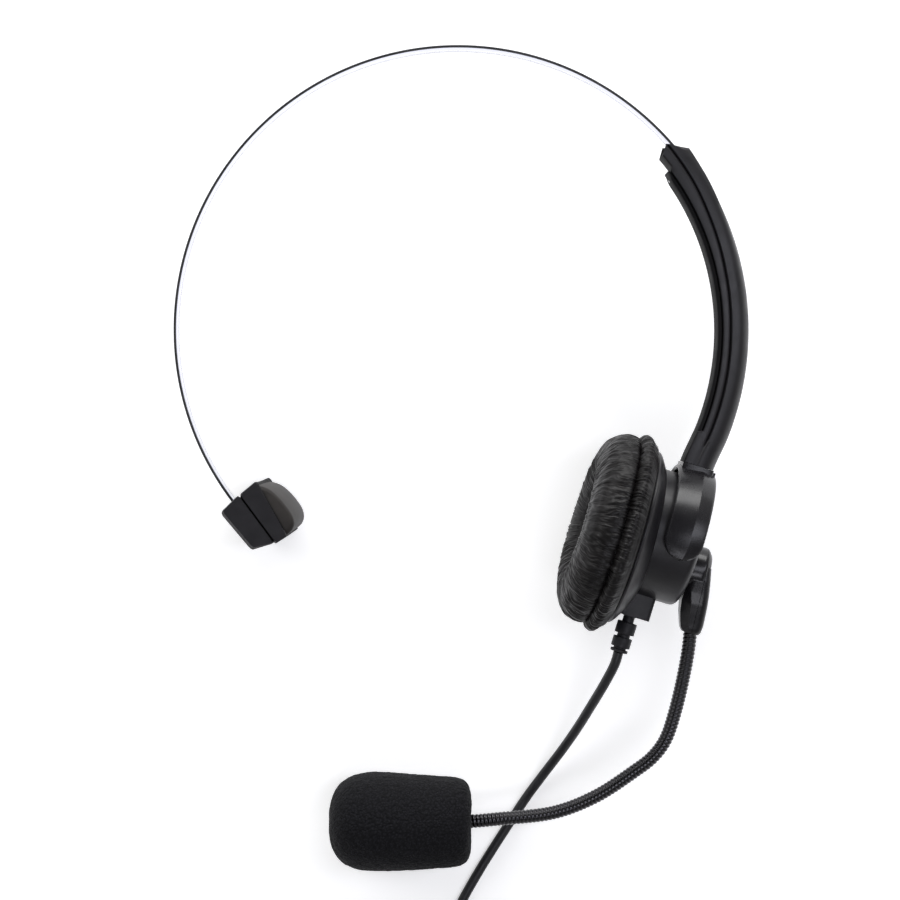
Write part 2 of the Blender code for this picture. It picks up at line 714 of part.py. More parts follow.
def make_cord(jacket, tie, hub):
    start = (CUP @ metres((OUTLET_X, RELIEF_END - 0.3, 0))) / MM
    tube("cord", smooth_route([start, *CORD_ROUTE], 2.5), CORD_RADIUS, jacket, hub)
    tube("cord_tail", smooth_route(TAIL_ROUTE, 3.0), CORD_RADIUS, jacket, hub)
    upright = Matrix.Translation(metres(COIL_CENTRE)) @ frame_along((0, 0, 1), (0, 0, 0))
    inner, outer = COIL_RADIUS - COIL_HALF_WIDTH, COIL_RADIUS + COIL_HALF_WIDTH
    ring = rounded(COIL_BOTTOM, COIL_TOP, inner, outer, 1.3, 2)
    turned("cord_coil", ring, 36, jacket, upright, hub, closed=True)
    rise, gap = 0.1, 0.25
    inside = rounded(COIL_BOTTOM - rise, COIL_TOP + rise, inner - gap, outer + gap, 1.3, 2)
    outside = rounded(
        COIL_BOTTOM - rise - TIE_THICKNESS, COIL_TOP + rise + TIE_THICKNESS,
        inner - gap - TIE_THICKNESS, outer + gap + TIE_THICKNESS, 1.6, 2,
    )
    band = loft("cord_tie", tie_rings(outside, 13.0), tie, tie_place(), hub)
    room = loft("tie_room", tie_rings(inside, 16.0), None, tie_place(), hub)
    combine(band, "DIFFERENCE", [room])


def tie_rings(outline, half_angle):
    """The strap follows the coil's curve."""
    rings = []
    for angle in spread(-half_angle, half_angle, 5):
        turn = math.radians(angle)
        rings.append([(r * math.sin(turn), r * math.cos(turn), z) for z, r in outline])
    return rings


def tie_place():
    """The tie's frame: x across the strap, y out from the coil's centre."""
    return Matrix.Translation(metres(COIL_CENTRE)) @ Matrix.Rotation(math.radians(-60), 4, "Z")


def make_plug(clear_plastic, brass, hub, latch_hub):
    """A four-contact modular plug lying on its side."""
    half = PLUG_DEPTH / 2
    place = Matrix.Translation(metres(PLUG_REAR))
    body = box(
        "plug_body", (0, -half, 0), (PLUG_LENGTH, half, PLUG_HEIGHT), clear_plastic, place, hub
    )
    for i in range(4):
        z = PLUG_HEIGHT / 2 + (i - 1.5) * CONTACT_PITCH
        slot = box(f"contact_slot_{i + 1}", (7.2, 0.6, z - 0.3), (12.2, half + 1, z + 0.3), None, place, hub)
        combine(body, "DIFFERENCE", [slot])
        box(f"plug_contact_{i + 1}", (7.5, 0.9, z - 0.17), (11.9, half - 0.4, z + 0.17), brass, place, hub)
    latch = [
        (12.6, -0.3), (12.6, -1.0), (2.4, -4.2), (1.2, -4.2), (1.2, -3.5), (2.2, -3.5),
    ]
    rings = [[(x, -half + y, z) for x, y in latch] for z in (PLUG_HEIGHT / 2 - 1.6, PLUG_HEIGHT / 2 + 1.6)]
    loft("plug_latch", rings, clear_plastic, place, latch_hub)


# Assembly ------------------------------------------------------------------------------------------


def main():
    clear_scene()
    plastic = make_material("black_plastic", (0.022, 0.021, 0.024), 0.42)
    steel = make_material("polished_steel", (0.72, 0.72, 0.74), 0.18, 1.0)
    dark_steel = make_material("dark_steel", (0.2, 0.2, 0.21), 0.4, 1.0)
    black_chrome = make_material("black_chrome", (0.05, 0.05, 0.055), 0.22, 1.0)
    rubber = make_material("grey_rubber", (0.06, 0.053, 0.047), 0.7)
    relief = make_material("black_rubber", (0.02, 0.02, 0.022), 0.6)
    leather = make_material("leatherette", (0.018, 0.017, 0.019), 0.45)
    foam = make_material("foam", (0.018, 0.018, 0.021), 0.95)
    film = make_material("speaker_film", (0.5, 0.42, 0.25), 0.4)
    jacket = make_material("cord_jacket", (0.02, 0.02, 0.022), 0.5)
    brass = make_material("gold_contacts", (0.8, 0.6, 0.25), 0.25, 1.0)
    clear_plastic = make_material("plug_plastic", (0.5, 0.5, 0.5), 0.15)

    cup = empty("cup_body", CUP)
    yoke = empty("cup_tilt_axis", CUP, (YOKE_X, YOKE_Y, 0))
    arm = empty("arm_swivel_axis", ARM, (STEM_X, JOINT_Y, 0))
    band = empty("band_slide_axis", BAND)
    boom = empty("boom_turn_axis", CUP, (HUB_START, HUB_Y, 0))
    mic = empty("gooseneck_bend_axis", Matrix.Translation(metres(BEND)))
    hinge = (12.6, -PLUG_DEPTH / 2 - 0.65, 3.8)
    latch = empty("plug_latch_axis", Matrix.Translation(metres(PLUG_REAR)), hinge)
    for child, parent in ((yoke, cup), (arm, yoke), (band, arm), (boom, cup), (mic, boom), (latch, cup)):
        hang(child, parent)

    make_band(steel, plastic, rubber, band)
    make_arm(plastic, dark_steel, arm)
    make_yoke(plastic, dark_steel, yoke)
    make_shell(plastic, cup)
    make_speaker({"plastic": plastic, "film": film, "steel": dark_steel, "foam": foam}, cup)
    make_cushion(leather, cup)
    make_relief(relief, cup)
    make_boom(plastic, dark_steel, relief, boom)
    make_gooseneck(black_chrome, boom, mic)
    make_microphone(plastic, brass, foam, mic)
    make_cord(jacket, relief, cup)
    make_plug(clear_plastic, brass, cup, latch)


main()
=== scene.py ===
"""The looks of the office headset: shells, leatherette, foam, gooseneck and cord around the CAD frame.

Shape tables are in millimetres, in the same frames as the CAD. MM turns them into metres."""

import math

import bmesh
import bpy
import numpy as np
from mathutils import Matrix, Vector


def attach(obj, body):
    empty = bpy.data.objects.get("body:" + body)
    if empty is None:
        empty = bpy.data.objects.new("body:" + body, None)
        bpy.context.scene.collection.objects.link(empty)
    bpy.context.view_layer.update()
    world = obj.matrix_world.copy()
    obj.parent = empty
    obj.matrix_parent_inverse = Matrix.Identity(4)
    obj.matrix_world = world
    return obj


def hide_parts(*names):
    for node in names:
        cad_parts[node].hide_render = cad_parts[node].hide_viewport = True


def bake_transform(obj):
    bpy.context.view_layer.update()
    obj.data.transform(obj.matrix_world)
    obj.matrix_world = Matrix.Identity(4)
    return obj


MM = 0.001
TURN = math.tau

# Layout in the CAD's frames, with the joints where the CAD has them. The sections of the rest, the arm's
# seam, the yoke, the drum's end and the boom's hub and split differ from the CAD's by a little
MID_Z = 27.05
HEAD = Vector((-1.25, 36.65, MID_Z))
CUP_CENTRE = Vector((40.9, -18.3, MID_Z))
CUP_LEAN, CUP_TURN = -17.0, 2.6
STEM_X = 17.2
BAND_RADIUS, BAND_THICKNESS, BAND_HALF_WIDTH = 77.3, 0.75, 5.0
BAND_START, BAND_END = -131.0, 96.0
REST_ANGLE, REST_LEAN = -126.5, 73.0
REST_PLACES = 41
PAD_HALF_LENGTH = 25.5
COVER_CORNERS = ((2.0, -4.5, 2.2), (14.9, -3.7, 2.2), (17.0, 2.35, 1.7), (1.1, 2.35, 1.7))
CARRIER_CORNERS = ((1.2, 2.5, 1.7), (17.4, 2.5, 1.7), (17.7, 7.4, 0.6), (0.9, 9.5, 0.6))
PAD_OUTLINE = (
    (1.9, 8.6), (2.2, 9.7), (3.1, 10.9), (5.0, 12.4), (8.0, 13.3), (11.0, 13.55), (14.0, 13.3), (16.0, 12.2),
    (17.0, 10.4), (17.3, 8.6), (17.2, 6.9),
)
PAD_FALL = 0.3
ARM_HALF_WIDTH = 6.9
ARM_INNER, ARM_SEAM = 70.8, 72.1
ARM_MIDDLE = 75.45
ARM_BEND = 112.0  # where the arc starts to straighten into the collar, in degrees
MOUTH_INNER, MOUTH_END = 73.1, 52.6
COVER_START, COVER_END = 53.2, 113.2
JOINT_Y = 23.75
YOKE_X, YOKE_Y = 16.9, 2.75
YOKE_INNER, YOKE_OUTER = 18.9, 20.9
YOKE_HALF_WIDTH, YOKE_SHIFT = 5.3, 0.5
YOKE_REACH, YOKE_STRAIGHT = 104.0, 88.0  # degrees from the stem to the fork's tip, and to where it narrows
YOKE_RELIEF = 0.35  # how much further the fork's free edge stands off the drum
STEM_FOOT = 22.0  # the stem starts inside the fork's wall, clear of the drum when the cup tilts
HOUSING_RADIUS, HOUSING_END = 17.7, 23.1
OUTLET_X, RELIEF_END = 11.75, -31.4
HUB_Y, HUB_RADIUS, HUB_START, HUB_END = -3.6, 6.6, 23.6, 28.9
NECK_RADIUS, NECK_PITCH, NECK_GROOVE = 1.95, 1.1, 0.3
NECK_STEP = NECK_PITCH / 6
NECK_START = (28.35, -16.4, 0)
FOAM_RADIUS = 13.8
FOAM_CENTRE = Vector((-17.4, -100.6, FOAM_RADIUS))
CORD_DIAMETER = 2.75
COIL_CENTRE = Vector((6.4, -152.3, 0.0))
COIL_RADIUS = 15.0
COIL_BOTTOM = 0.5

# Camera: straight above, a little towards the crown of the band
VIEW_DISTANCE = 750.0
VIEW_WIDTH = 247.5
VIEW_TILT = 0.6
AIM = Vector((-3.4, 3.75, MID_Z))
SENSOR = 36.0

NECK_ROUTE = [
    (61.95, -53.3, 26.0),
    (58.65, -69.0, 24.3),
    (56.0, -76.8, 23.2),
    (52.5, -81.6, 22.2),
    (47.4, -85.7, 21.2),
    (37.1, -92.7, 19.3),
    (25.8, -97.4, 17.4),
    (9.8, -99.6, 15.2),
    (2.0, -100.4, 14.3),
    (-6.0, -100.6, 13.8),
]
CORD_ROUTE = [
    (42.1, -54.9, 26.7),
    (39.7, -60.2, 23.8),
    (36.3, -66.9, 18.6),
    (32.4, -74.3, 12.6),
    (28.2, -81.3, 7.2),
    (23.3, -88.4, 3.3),
    (18.3, -95.4, 1.75),
    (13.7, -102.5, 1.4),
    (9.5, -109.0, 1.4),
    (5.2, -115.9, 1.4),
    (1.0, -123.2, 1.4),
    (-2.2, -129.3, 1.6),
    (-4.3, -133.0, 1.9),
]
TAIL_ROUTE = [
    (11.0, -172.9, 8.6),
    (15.5, -174.4, 6.4),
    (20.0, -175.5, 4.3),
    (25.0, -176.1, 2.6),
    (30.0, -176.2, 1.9),
    (35.0, -175.8, 2.3),
    (39.0, -175.3, 3.4),
    (41.5, -175.2, 3.8),
]


def metres(point):
    return Vector(point) * MM


def polar(radius, degrees, z=0.0):
    """A point at an angle clockwise from +Y."""
    angle = math.radians(degrees)
    return Vector((radius * math.sin(angle), radius * math.cos(angle), z))


CUP = (
    Matrix.Translation(metres(CUP_CENTRE))
    @ Matrix.Rotation(math.radians(CUP_LEAN), 4, "Z")
    @ Matrix.Translation(metres((STEM_X, 0, 0)))
    @ Matrix.Rotation(math.radians(CUP_TURN), 4, "Y")
    @ Matrix.Translation(metres((-STEM_X, 0, 0)))
)
ARM = Matrix.Translation(metres(CUP_CENTRE)) @ Matrix.Rotation(math.radians(CUP_LEAN), 4, "Z")
BAND = Matrix.Translation(metres(HEAD))
REST = Matrix.Translation(metres(HEAD + polar(BAND_RADIUS, REST_ANGLE))) @ Matrix.Rotation(
    math.radians(REST_ANGLE + REST_LEAN), 4, "Z"
)
WORLD = Matrix.Identity(4)
TO_Y = Matrix.Rotation(math.pi / 2, 4, "Z")
STEM_TO_Y = Matrix.Translation(metres((STEM_X, 0, 0))) @ TO_Y
OUTLET = CUP @ Matrix.Translation(metres((OUTLET_X, 0, 0))) @ Matrix.Rotation(-math.pi / 2, 4, "Z")

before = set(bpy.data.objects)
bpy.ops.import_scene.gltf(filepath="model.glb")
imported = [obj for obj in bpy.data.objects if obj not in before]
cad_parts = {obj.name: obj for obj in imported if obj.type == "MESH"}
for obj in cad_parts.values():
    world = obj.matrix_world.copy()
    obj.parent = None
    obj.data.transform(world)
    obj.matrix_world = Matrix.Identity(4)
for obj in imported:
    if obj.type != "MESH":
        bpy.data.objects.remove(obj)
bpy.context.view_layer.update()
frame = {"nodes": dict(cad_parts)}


# Points and curves ---------------------------------------------------------------------------------


def spread(start, end, count):
    return [start + (end - start) * i / (count - 1) for i in range(count)]


def ease(value, low, high):
    """0 below low, 1 above high, smooth between."""
    t = np.clip((value - low) / (high - low), 0.0, 1.0)
    return t * t * (3 - 2 * t)


def follow(table, value):
    """A value read from a table of (place, value) pairs."""
    return float(np.interp(value, [row[0] for row in table], [row[1] for row in table]))


def smooth_route(points, spacing, closed=False):
    """Points at an even spacing along a smooth curve through the given ones."""
    points = [Vector(point) for point in points]
    if closed:
        path = [points[-1], *points, points[0], points[1]]
    else:
        path = [points[0] * 2 - points[1], *points, points[-1] * 2 - points[-2]]
    fine = []
    for a, b, c, d in zip(path, path[1:], path[2:], path[3:]):
        knots = [0.0]
        for p, q in ((a, b), (b, c), (c, d)):
            knots.append(knots[-1] + max(1e-6, (q - p).length) ** 0.5)
        for i in range(24):
            t = knots[1] + (knots[2] - knots[1]) * i / 24
            first = [
                p.lerp(q, (t - low) / (high - low))
                for p, q, low, high in zip((a, b, c), (b, c, d), knots, knots[1:])
            ]
            second = [
                p.lerp(q, (t - low) / (high - low))
                for p, q, low, high in zip(first, first[1:], knots, knots[2:])
            ]
            fine.append(second[0].lerp(second[1], (t - knots[1]) / (knots[2] - knots[1])))
    fine.append(points[0] if closed else points[-1])
    line = np.array(fine)
    along = np.concatenate([[0], np.cumsum(np.linalg.norm(np.diff(line, axis=0), axis=1))])
    count = max(2, round(along[-1] / spacing) + 1)
    marks = np.linspace(0, along[-1], count)
    even = np.stack([np.interp(marks, along, line[:, k]) for k in range(line.shape[1])], axis=1)
    return even[:-1] if closed else even


def frames_along(route):
    """Two directions across a route at each of its points, turning with it and never twisting."""
    ahead = np.gradient(route, axis=0)
    ahead /= np.linalg.norm(ahead, axis=1)[:, None]
    side = np.cross(ahead[0], (0, 0, 1.0))
    sides = []
    for direction in ahead:
        side = side - direction * side.dot(direction)
        side /= np.linalg.norm(side)
        sides.append(side)
    sides = np.array(sides)
    return sides, np.cross(ahead, sides)


def lattice_noise(u, v, cells_u, cells_v, seed):
    """Smooth noise from -1 to 1 over u and v from 0 to 1. It repeats round u."""
    table = np.random.default_rng(seed).uniform(-1, 1, (cells_u, cells_v + 2))
    x, y = (u % 1.0) * cells_u, np.clip(v, 0, 1) * cells_v
    i, j = np.floor(x).astype(int), np.floor(y).astype(int)
    fx, fy = x - i, y - j
    fx, fy = fx * fx * (3 - 2 * fx), fy * fy * (3 - 2 * fy)
    i, k = i % cells_u, (i + 1) % cells_u
    low = table[i, j] * (1 - fx) + table[k, j] * fx
    high = table[i, j + 1] * (1 - fx) + table[k, j + 1] * fx
    return low * (1 - fy) + high * fy


def rounded_rect(low_x, high_x, low_y, high_y, radius, steps):
    corners = ((high_x, high_y, 0), (low_x, high_y, 90), (low_x, low_y, 180), (high_x, low_y, 270))
    outline = []
    for x, y, start in corners:
        centre_x = x - radius if x == high_x else x + radius
        centre_y = y - radius if y == high_y else y + radius
        for i in range(steps + 1):
            angle = math.radians(start + 90 * i / steps)
            outline.append((centre_x + radius * math.cos(angle), centre_y + radius * math.sin(angle)))
    return outline


# Sections of the rest's two halves, over the unit square
COVER_OUTLINE = rounded_rect(0, 1, 0, 1, 0.09, 4)
CARRIER_OUTLINE = rounded_rect(0, 1, 0, 1, 0.1, 4)


# Meshes --------------------------------------------------------------------------------------------


def piece(name, verts, faces, place=WORLD, sharp=40.0):
    """A smooth-shaded mesh in the row frame, from points in millimetres in a local frame."""
    mesh = bpy.data.meshes.new(name)
    mesh.from_pydata([tuple(place @ metres(point)) for point in verts], [], faces)
    bm = bmesh.new()
    bm.from_mesh(mesh)
    bmesh.ops.remove_doubles(bm, verts=bm.verts, dist=2e-6)
    bmesh.ops.recalc_face_normals(bm, faces=bm.faces)
    if bm.calc_volume(signed=True) < 0:
        bmesh.ops.reverse_faces(bm, faces=bm.faces)
    bm.to_mesh(mesh)
    bm.free()
    mesh.shade_smooth()
    if sharp:
        mesh.set_sharp_from_angle(angle=math.radians(sharp))
    thing = bpy.data.objects.new(name, mesh)
    bpy.context.scene.collection.objects.link(thing)
    return thing


def quads(rows, count, close_rows=True, close_rings=True):
    """Faces between neighbouring rings of points. Either way round may close on itself."""
    faces = []
    for row in range(rows if close_rows else rows - 1):
        low, high = row * count, (row + 1) % rows * count
        for i in range(count if close_rings else count - 1):
            j = (i + 1) % count
            faces.append((low + i, low + j, high + j, high + i))
    return faces


def loft(name, rings, place=WORLD, sharp=40.0, loop=False):
    """A skin over rings of the same number of points, with capped ends unless it is a loop."""
    count = len(rings[0])
    verts = [point for ring in rings for point in ring]
    faces = quads(len(rings), count, close_rows=loop)
    if not loop:
        faces.append(tuple(range(count)))
        faces.append(tuple(range(len(verts) - count, len(verts))))
    return piece(name, verts, faces, place, sharp)


def turned(name, profile, steps, place=WORLD, axis_at=(0, 0)):
    """A profile of (x, radius) turned about a line along x."""
    rings = []
    for i in range(steps):
        angle = TURN * i / steps
        c, s = math.cos(angle), math.sin(angle)
        rings.append([(x, axis_at[0] + radius * c, axis_at[1] + radius * s) for x, radius in profile])
    on_axis = profile[0][1] < 1e-6 and profile[-1][1] < 1e-6
    verts = [point for ring in rings for point in ring]
    return piece(name, verts, quads(steps, len(profile), close_rings=not on_axis), place)


def slab(low, high):
    """Corners and faces of a box."""
    corners = [(x, y, z) for x in (low[0], high[0]) for y in (low[1], high[1]) for z in (low[2], high[2])]
    faces = [(0, 1, 3, 2), (4, 6, 7, 5), (0, 4, 5, 1), (2, 3, 7, 6), (0, 2, 6, 4), (1, 5, 7, 3)]
    return corners, faces


def rounded_profile(points, radius, steps=4):
    """Rounds the inner corners of an open profile of (x, y) points, with one radius or one for each point."""
    radii = radius if isinstance(radius, (list, tuple)) else [radius] * len(points)
    result = [tuple(points[0])]
    for before, corner, after, size in zip(points, points[1:], points[2:], radii[1:]):
        a, b, c = Vector(before), Vector(corner), Vector(after)
        reach = min(size, (b - a).length * 0.49, (c - b).length * 0.49)
        if reach < 1e-4:
            result.append(tuple(b))
            continue
        start, end = b + (a - b).normalized() * reach, b + (c - b).normalized() * reach
        for i in range(steps + 1):
            t = i / steps
            result.append(tuple(start * (1 - t) ** 2 + b * 2 * t * (1 - t) + end * t * t))
    result.append(tuple(points[-1]))
    return result


def boolean(thing, operation, others):
    """Cuts or joins with helper shapes, applies it, and deletes the helpers."""
    for other in others:
        modifier = thing.modifiers.new(operation, "BOOLEAN")
        modifier.operation = operation
        modifier.object = other
    bpy.context.view_layer.update()
    graph = bpy.context.evaluated_depsgraph_get()
    mesh = bpy.data.meshes.new_from_object(thing.evaluated_get(graph))
    thing.modifiers.clear()
    old = thing.data
    thing.data = mesh
    bpy.data.meshes.remove(old)
    for other in others:
        bpy.data.objects.remove(other)


def soften(thing, width, angle=35.0):
    """Bevels edges sharper than the angle, and keeps the shading smooth."""
    modifier = thing.modifiers.new("edges", "BEVEL")
    modifier.width = width * MM
    modifier.segments = 2
    modifier.limit_method = "ANGLE"
    modifier.angle_limit = math.radians(angle)
    modifier.harden_normals = True
    return thing


def shade_faces(thing, material, chosen):
    """Gives the chosen faces a second material of painted shade, such as on the strip's edges or on a wall
    that stays in shadow.
    """
    thing.data.materials.append(material)
    for face in thing.data.polygons:
        if chosen(face):
            face.material_index = 1


def finish(thing, material, body, slot, *nodes):
    """Dresses a piece, joins it to a body and hides the CAD nodes that it stands for."""
    thing.data.materials.clear()
    thing.data.materials.append(material)
    if body:
        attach(thing, body)
    if nodes:
        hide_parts(*nodes)


# Materials -----------------------------------------------------------------------------------------


class Finish:
    """A Principled material with small helpers for procedural detail in the object's own coordinates."""

    def __init__(self, name, color, roughness, metallic=0.0, **sockets):
        self.material = bpy.data.materials.new(name)
        self.material.use_nodes = True
        self.tree = self.material.node_tree
        self.shader = self.tree.nodes["Principled BSDF"]
        self.shader.inputs["Base Color"].default_value = (*color, 1.0)
        self.shader.inputs["Roughness"].default_value = roughness
        self.shader.inputs["Metallic"].default_value = metallic
        for socket, value in sockets.items():
            self.shader.inputs[socket.replace("_", " ")].default_value = value
        self.place = self.tree.nodes.new("ShaderNodeTexCoord").outputs["Object"]
        self.normal = None

    def node(self, kind, **values):
        made = self.tree.nodes.new(kind)
        for name, value in values.items():
            made.inputs[name].default_value = value
        return made

    def link(self, source, target):
        self.tree.links.new(source, target)

    def stretched(self, scale):
        """Object coordinates scaled differently along each axis."""
        mapping = self.node("ShaderNodeMapping")
        mapping.inputs["Scale"].default_value = scale
        self.link(self.place, mapping.inputs["Vector"])
        return mapping.outputs["Vector"]

    def noise(self, scale, detail=3.0, vector=None):
        made = self.node("ShaderNodeTexNoise", Scale=scale, Detail=detail)
        self.link(vector or self.place, made.inputs["Vector"])
        return made.outputs["Fac"]

    def cells(self, scale):
        made = self.node("ShaderNodeTexVoronoi", Scale=scale)
        self.link(self.place, made.inputs["Vector"])
        return made.outputs["Distance"]

    def span(self, value, low, high):
        """Maps the middle of a noise's range to low and high."""
        made = self.node("ShaderNodeMapRange")
        for socket, number in zip(made.inputs[1:5], (0.3, 0.7, low, high)):
            socket.default_value = number
        self.link(value, made.inputs[0])
        return made.outputs[0]

    def vary_color(self, value, low, high, from_low=0.35, from_high=0.65):
        ramp = self.node("ShaderNodeValToRGB")
        ramp.color_ramp.elements[0].position = from_low
        ramp.color_ramp.elements[1].position = from_high
        ramp.color_ramp.elements[0].color = (*low, 1.0)
        ramp.color_ramp.elements[1].color = (*high, 1.0)
        self.link(value, ramp.inputs["Fac"])
        self.link(ramp.outputs["Color"], self.shader.inputs["Base Color"])

    def vary_roughness(self, value, low, high):
        self.link(self.span(value, low, high), self.shader.inputs["Roughness"])

    def bump(self, value, strength, depth):
        made = self.node("ShaderNodeBump", Strength=strength, Distance=depth * MM)
        self.link(value, made.inputs["Height"])
        if self.normal:
            self.link(self.normal, made.inputs["Normal"])
        self.normal = made.outputs["Normal"]
        self.link(self.normal, self.shader.inputs["Normal"])


def moulded_plastic():
    look = Finish("moulded_black_plastic", (0.011, 0.0105, 0.0125), 0.36, Specular_IOR_Level=0.34)
    look.vary_color(look.noise(90.0), (0.0085, 0.008, 0.0095), (0.014, 0.0132, 0.0155))
    look.vary_roughness(look.noise(260.0, 4.0), 0.33, 0.44)
    look.bump(look.noise(5200.0, 2.0), 0.16, 0.02)
    return look.material


def gloss_plastic():
    look = Finish("satin_black_plastic", (0.0095, 0.009, 0.0105), 0.24, Specular_IOR_Level=0.42)
    look.vary_roughness(look.noise(180.0, 4.0), 0.2, 0.3)
    look.bump(look.noise(2600.0, 2.0), 0.06, 0.02)
    return look.material


def polished_steel():
    look = Finish("polished_spring_steel", (0.62, 0.63, 0.72), 0.16, 1.0)
    look.vary_roughness(look.noise(60.0, 3.0), 0.12, 0.22)
    look.bump(look.noise(900.0, 3.0, look.stretched((1.0, 1.0, 14.0))), 0.06, 0.01)
    return look.material


def painted_shade_edge():
    """The strip's narrow edges: steel painted darker than its polished faces, as shade."""
    look = Finish("painted_shade_steel_edge", (0.06, 0.06, 0.062), 0.4, 1.0)
    look.vary_roughness(look.noise(300.0, 3.0), 0.34, 0.5)
    return look.material


def painted_shade_plastic():
    """A copy of the black plastic with almost no highlight: painted shade on the arm's cover and on side
    walls of the arm and the rest.
    """
    look = Finish("painted_shade_black_plastic", (0.009, 0.0088, 0.0095), 0.6, Specular_IOR_Level=0.02)
    look.vary_roughness(look.noise(260.0, 4.0), 0.48, 0.6)
    look.bump(look.noise(5200.0, 2.0), 0.16, 0.02)
    return look.material


def plain_steel():
    look = Finish("plain_steel", (0.35, 0.35, 0.36), 0.35, 1.0)
    look.vary_roughness(look.noise(500.0, 3.0), 0.28, 0.45)
    return look.material


def black_chrome():
    look = Finish("black_chrome", (0.05, 0.049, 0.052), 0.16, 1.0)
    look.vary_roughness(look.noise(700.0, 3.0), 0.12, 0.24)
    return look.material


def leatherette():
    look = Finish("leatherette", (0.010, 0.009, 0.0095), 0.34, Specular_IOR_Level=0.2)
    look.vary_color(look.noise(140.0), (0.005, 0.0044, 0.0045), (0.009, 0.008, 0.0082))
    look.vary_roughness(look.noise(420.0, 4.0), 0.3, 0.42)
    look.bump(look.cells(2100.0), 0.22, 0.03)
    look.bump(look.noise(1400.0, 3.0), 0.25, 0.05)
    return look.material


def windscreen_foam():
    look = Finish("windscreen_foam", (0.006, 0.006, 0.008), 0.8, Specular_IOR_Level=0.2)
    pores = look.cells(1500.0)
    look.vary_color(pores, (0.011, 0.011, 0.014), (0.002, 0.002, 0.003), 0.05, 0.6)
    look.bump(pores, 0.9, 0.35)
    look.bump(look.noise(2600.0, 3.0), 0.6, 0.2)
    return look.material


def speaker_fabric():
    look = Finish("speaker_fabric", (0.014, 0.014, 0.016), 0.9, Sheen_Weight=0.2)
    look.bump(look.cells(1900.0), 0.7, 0.15)
    return look.material


def grey_rubber():
    look = Finish("temple_rubber", (0.03, 0.027, 0.025), 0.62, Specular_IOR_Level=0.25)
    look.vary_color(look.noise(160.0), (0.016, 0.0135, 0.012), (0.026, 0.0225, 0.020))
    look.bump(look.noise(3000.0, 3.0), 0.2, 0.03)
    return look.material


def black_rubber():
    look = Finish("black_rubber", (0.010, 0.010, 0.012), 0.5, Specular_IOR_Level=0.35)
    look.vary_roughness(look.noise(500.0), 0.42, 0.6)
    look.bump(look.noise(2600.0, 3.0), 0.15, 0.03)
    return look.material


def cord_jacket():
    look = Finish("cord_jacket", (0.012, 0.012, 0.014), 0.45, Specular_IOR_Level=0.4)
    look.vary_roughness(look.noise(300.0), 0.38, 0.52)
    look.bump(look.noise(1500.0, 2.0), 0.12, 0.03)
    return look.material


def gold():
    look = Finish("gold_plate", (0.83, 0.61, 0.26), 0.22, 1.0)
    look.vary_roughness(look.noise(900.0), 0.18, 0.32)
    return look.material


def clear_plastic():
    look = Finish("clear_polycarbonate", (0.85, 0.87, 0.9), 0.08, Transmission_Weight=0.85, IOR=1.58)
    look.bump(look.noise(400.0), 0.05, 0.02)
    return look.material


def speaker_film():
    look = Finish("speaker_film", (0.45, 0.36, 0.2), 0.3)
    look.bump(look.noise(900.0), 0.2, 0.03)
    return look.material


# Camera, floor and light ---------------------------------------------------------------------------


def make_camera():
    data = bpy.data.cameras.new("view")
    data.sensor_width = SENSOR
    data.lens = SENSOR * VIEW_DISTANCE / VIEW_WIDTH
    data.clip_end = 10.0
    camera = bpy.data.objects.new("view", data)
    bpy.context.scene.collection.objects.link(camera)
    tilt = math.radians(VIEW_TILT)
    away = Vector((0, math.sin(tilt), math.cos(tilt)))
    camera.location = metres(AIM + away * VIEW_DISTANCE)
    camera.rotation_euler = (-tilt, 0, 0)
    bpy.context.scene.camera = camera


def make_light(name, place, target, size, power, color=(1, 1, 1)):
    data = bpy.data.lights.new(name, "AREA")
    data.shape = "RECTANGLE"
    data.size, data.size_y = size
    data.energy = power
    data.color = color
    lamp = bpy.data.objects.new(name, data)
    bpy.context.scene.collection.objects.link(lamp)
    lamp.location = place
    lamp.rotation_euler = (Vector(target) - Vector(place)).to_track_quat("-Z", "Y").to_euler()


def make_studio():
    """A pale floor that runs far past the view, a room with a dim ceiling, and four soft boxes."""
    bm = bmesh.new()
    bmesh.ops.create_grid(bm, x_segments=1, y_segments=1, size=3.0)
    mesh = bpy.data.meshes.new("floor")
    bm.to_mesh(mesh)
    bm.free()
    floor = bpy.data.objects.new("floor", mesh)
    bpy.context.scene.collection.objects.link(floor)
    pale = Finish(
        "lit_table", (0.9, 0.9, 0.9), 0.95, Specular_IOR_Level=0.1, Emission_Color=(1, 1, 1, 1),
        Emission_Strength=0.45,
    )
    floor.data.materials.append(pale.material)
    world = bpy.data.worlds.new("room")
    world.use_nodes = True
    nodes, links = world.node_tree.nodes, world.node_tree.links
    split = nodes.new("ShaderNodeSeparateXYZ")
    rise = nodes.new("ShaderNodeMapRange")
    for socket, number in zip(rise.inputs[1:5], (0.2, 0.85, 0.5, 0.05)):
        socket.default_value = number
    links.new(nodes.new("ShaderNodeTexCoord").outputs["Generated"], split.inputs[0])
    links.new(split.outputs["Z"], rise.inputs[0])
    links.new(rise.outputs[0], nodes["Background"].inputs["Strength"])
    nodes["Background"].inputs["Color"].default_value = (1, 1, 1, 1)
    bpy.context.scene.world = world
    centre = metres((0, 0, MID_Z))
    make_light("box_left", (-0.8, 0.5, 0.8), centre, (0.7, 0.9), 4.0)
    make_light("box_right", (0.5, 0.1, 0.95), centre, (0.3, 0.9), 3.2, (0.90, 0.91, 1.0))
    make_light("box_far", (0.1, 1.0, 0.35), centre, (1.3, 0.5), 11.0)
    make_light("box_high", (0.05, -0.42, 0.95), centre, (0.5, 0.2), 1.5, (0.93, 0.93, 1.0))
    bpy.context.scene.view_settings.view_transform = "Standard"


# Band and rest -------------------------------------------------------------------------------------


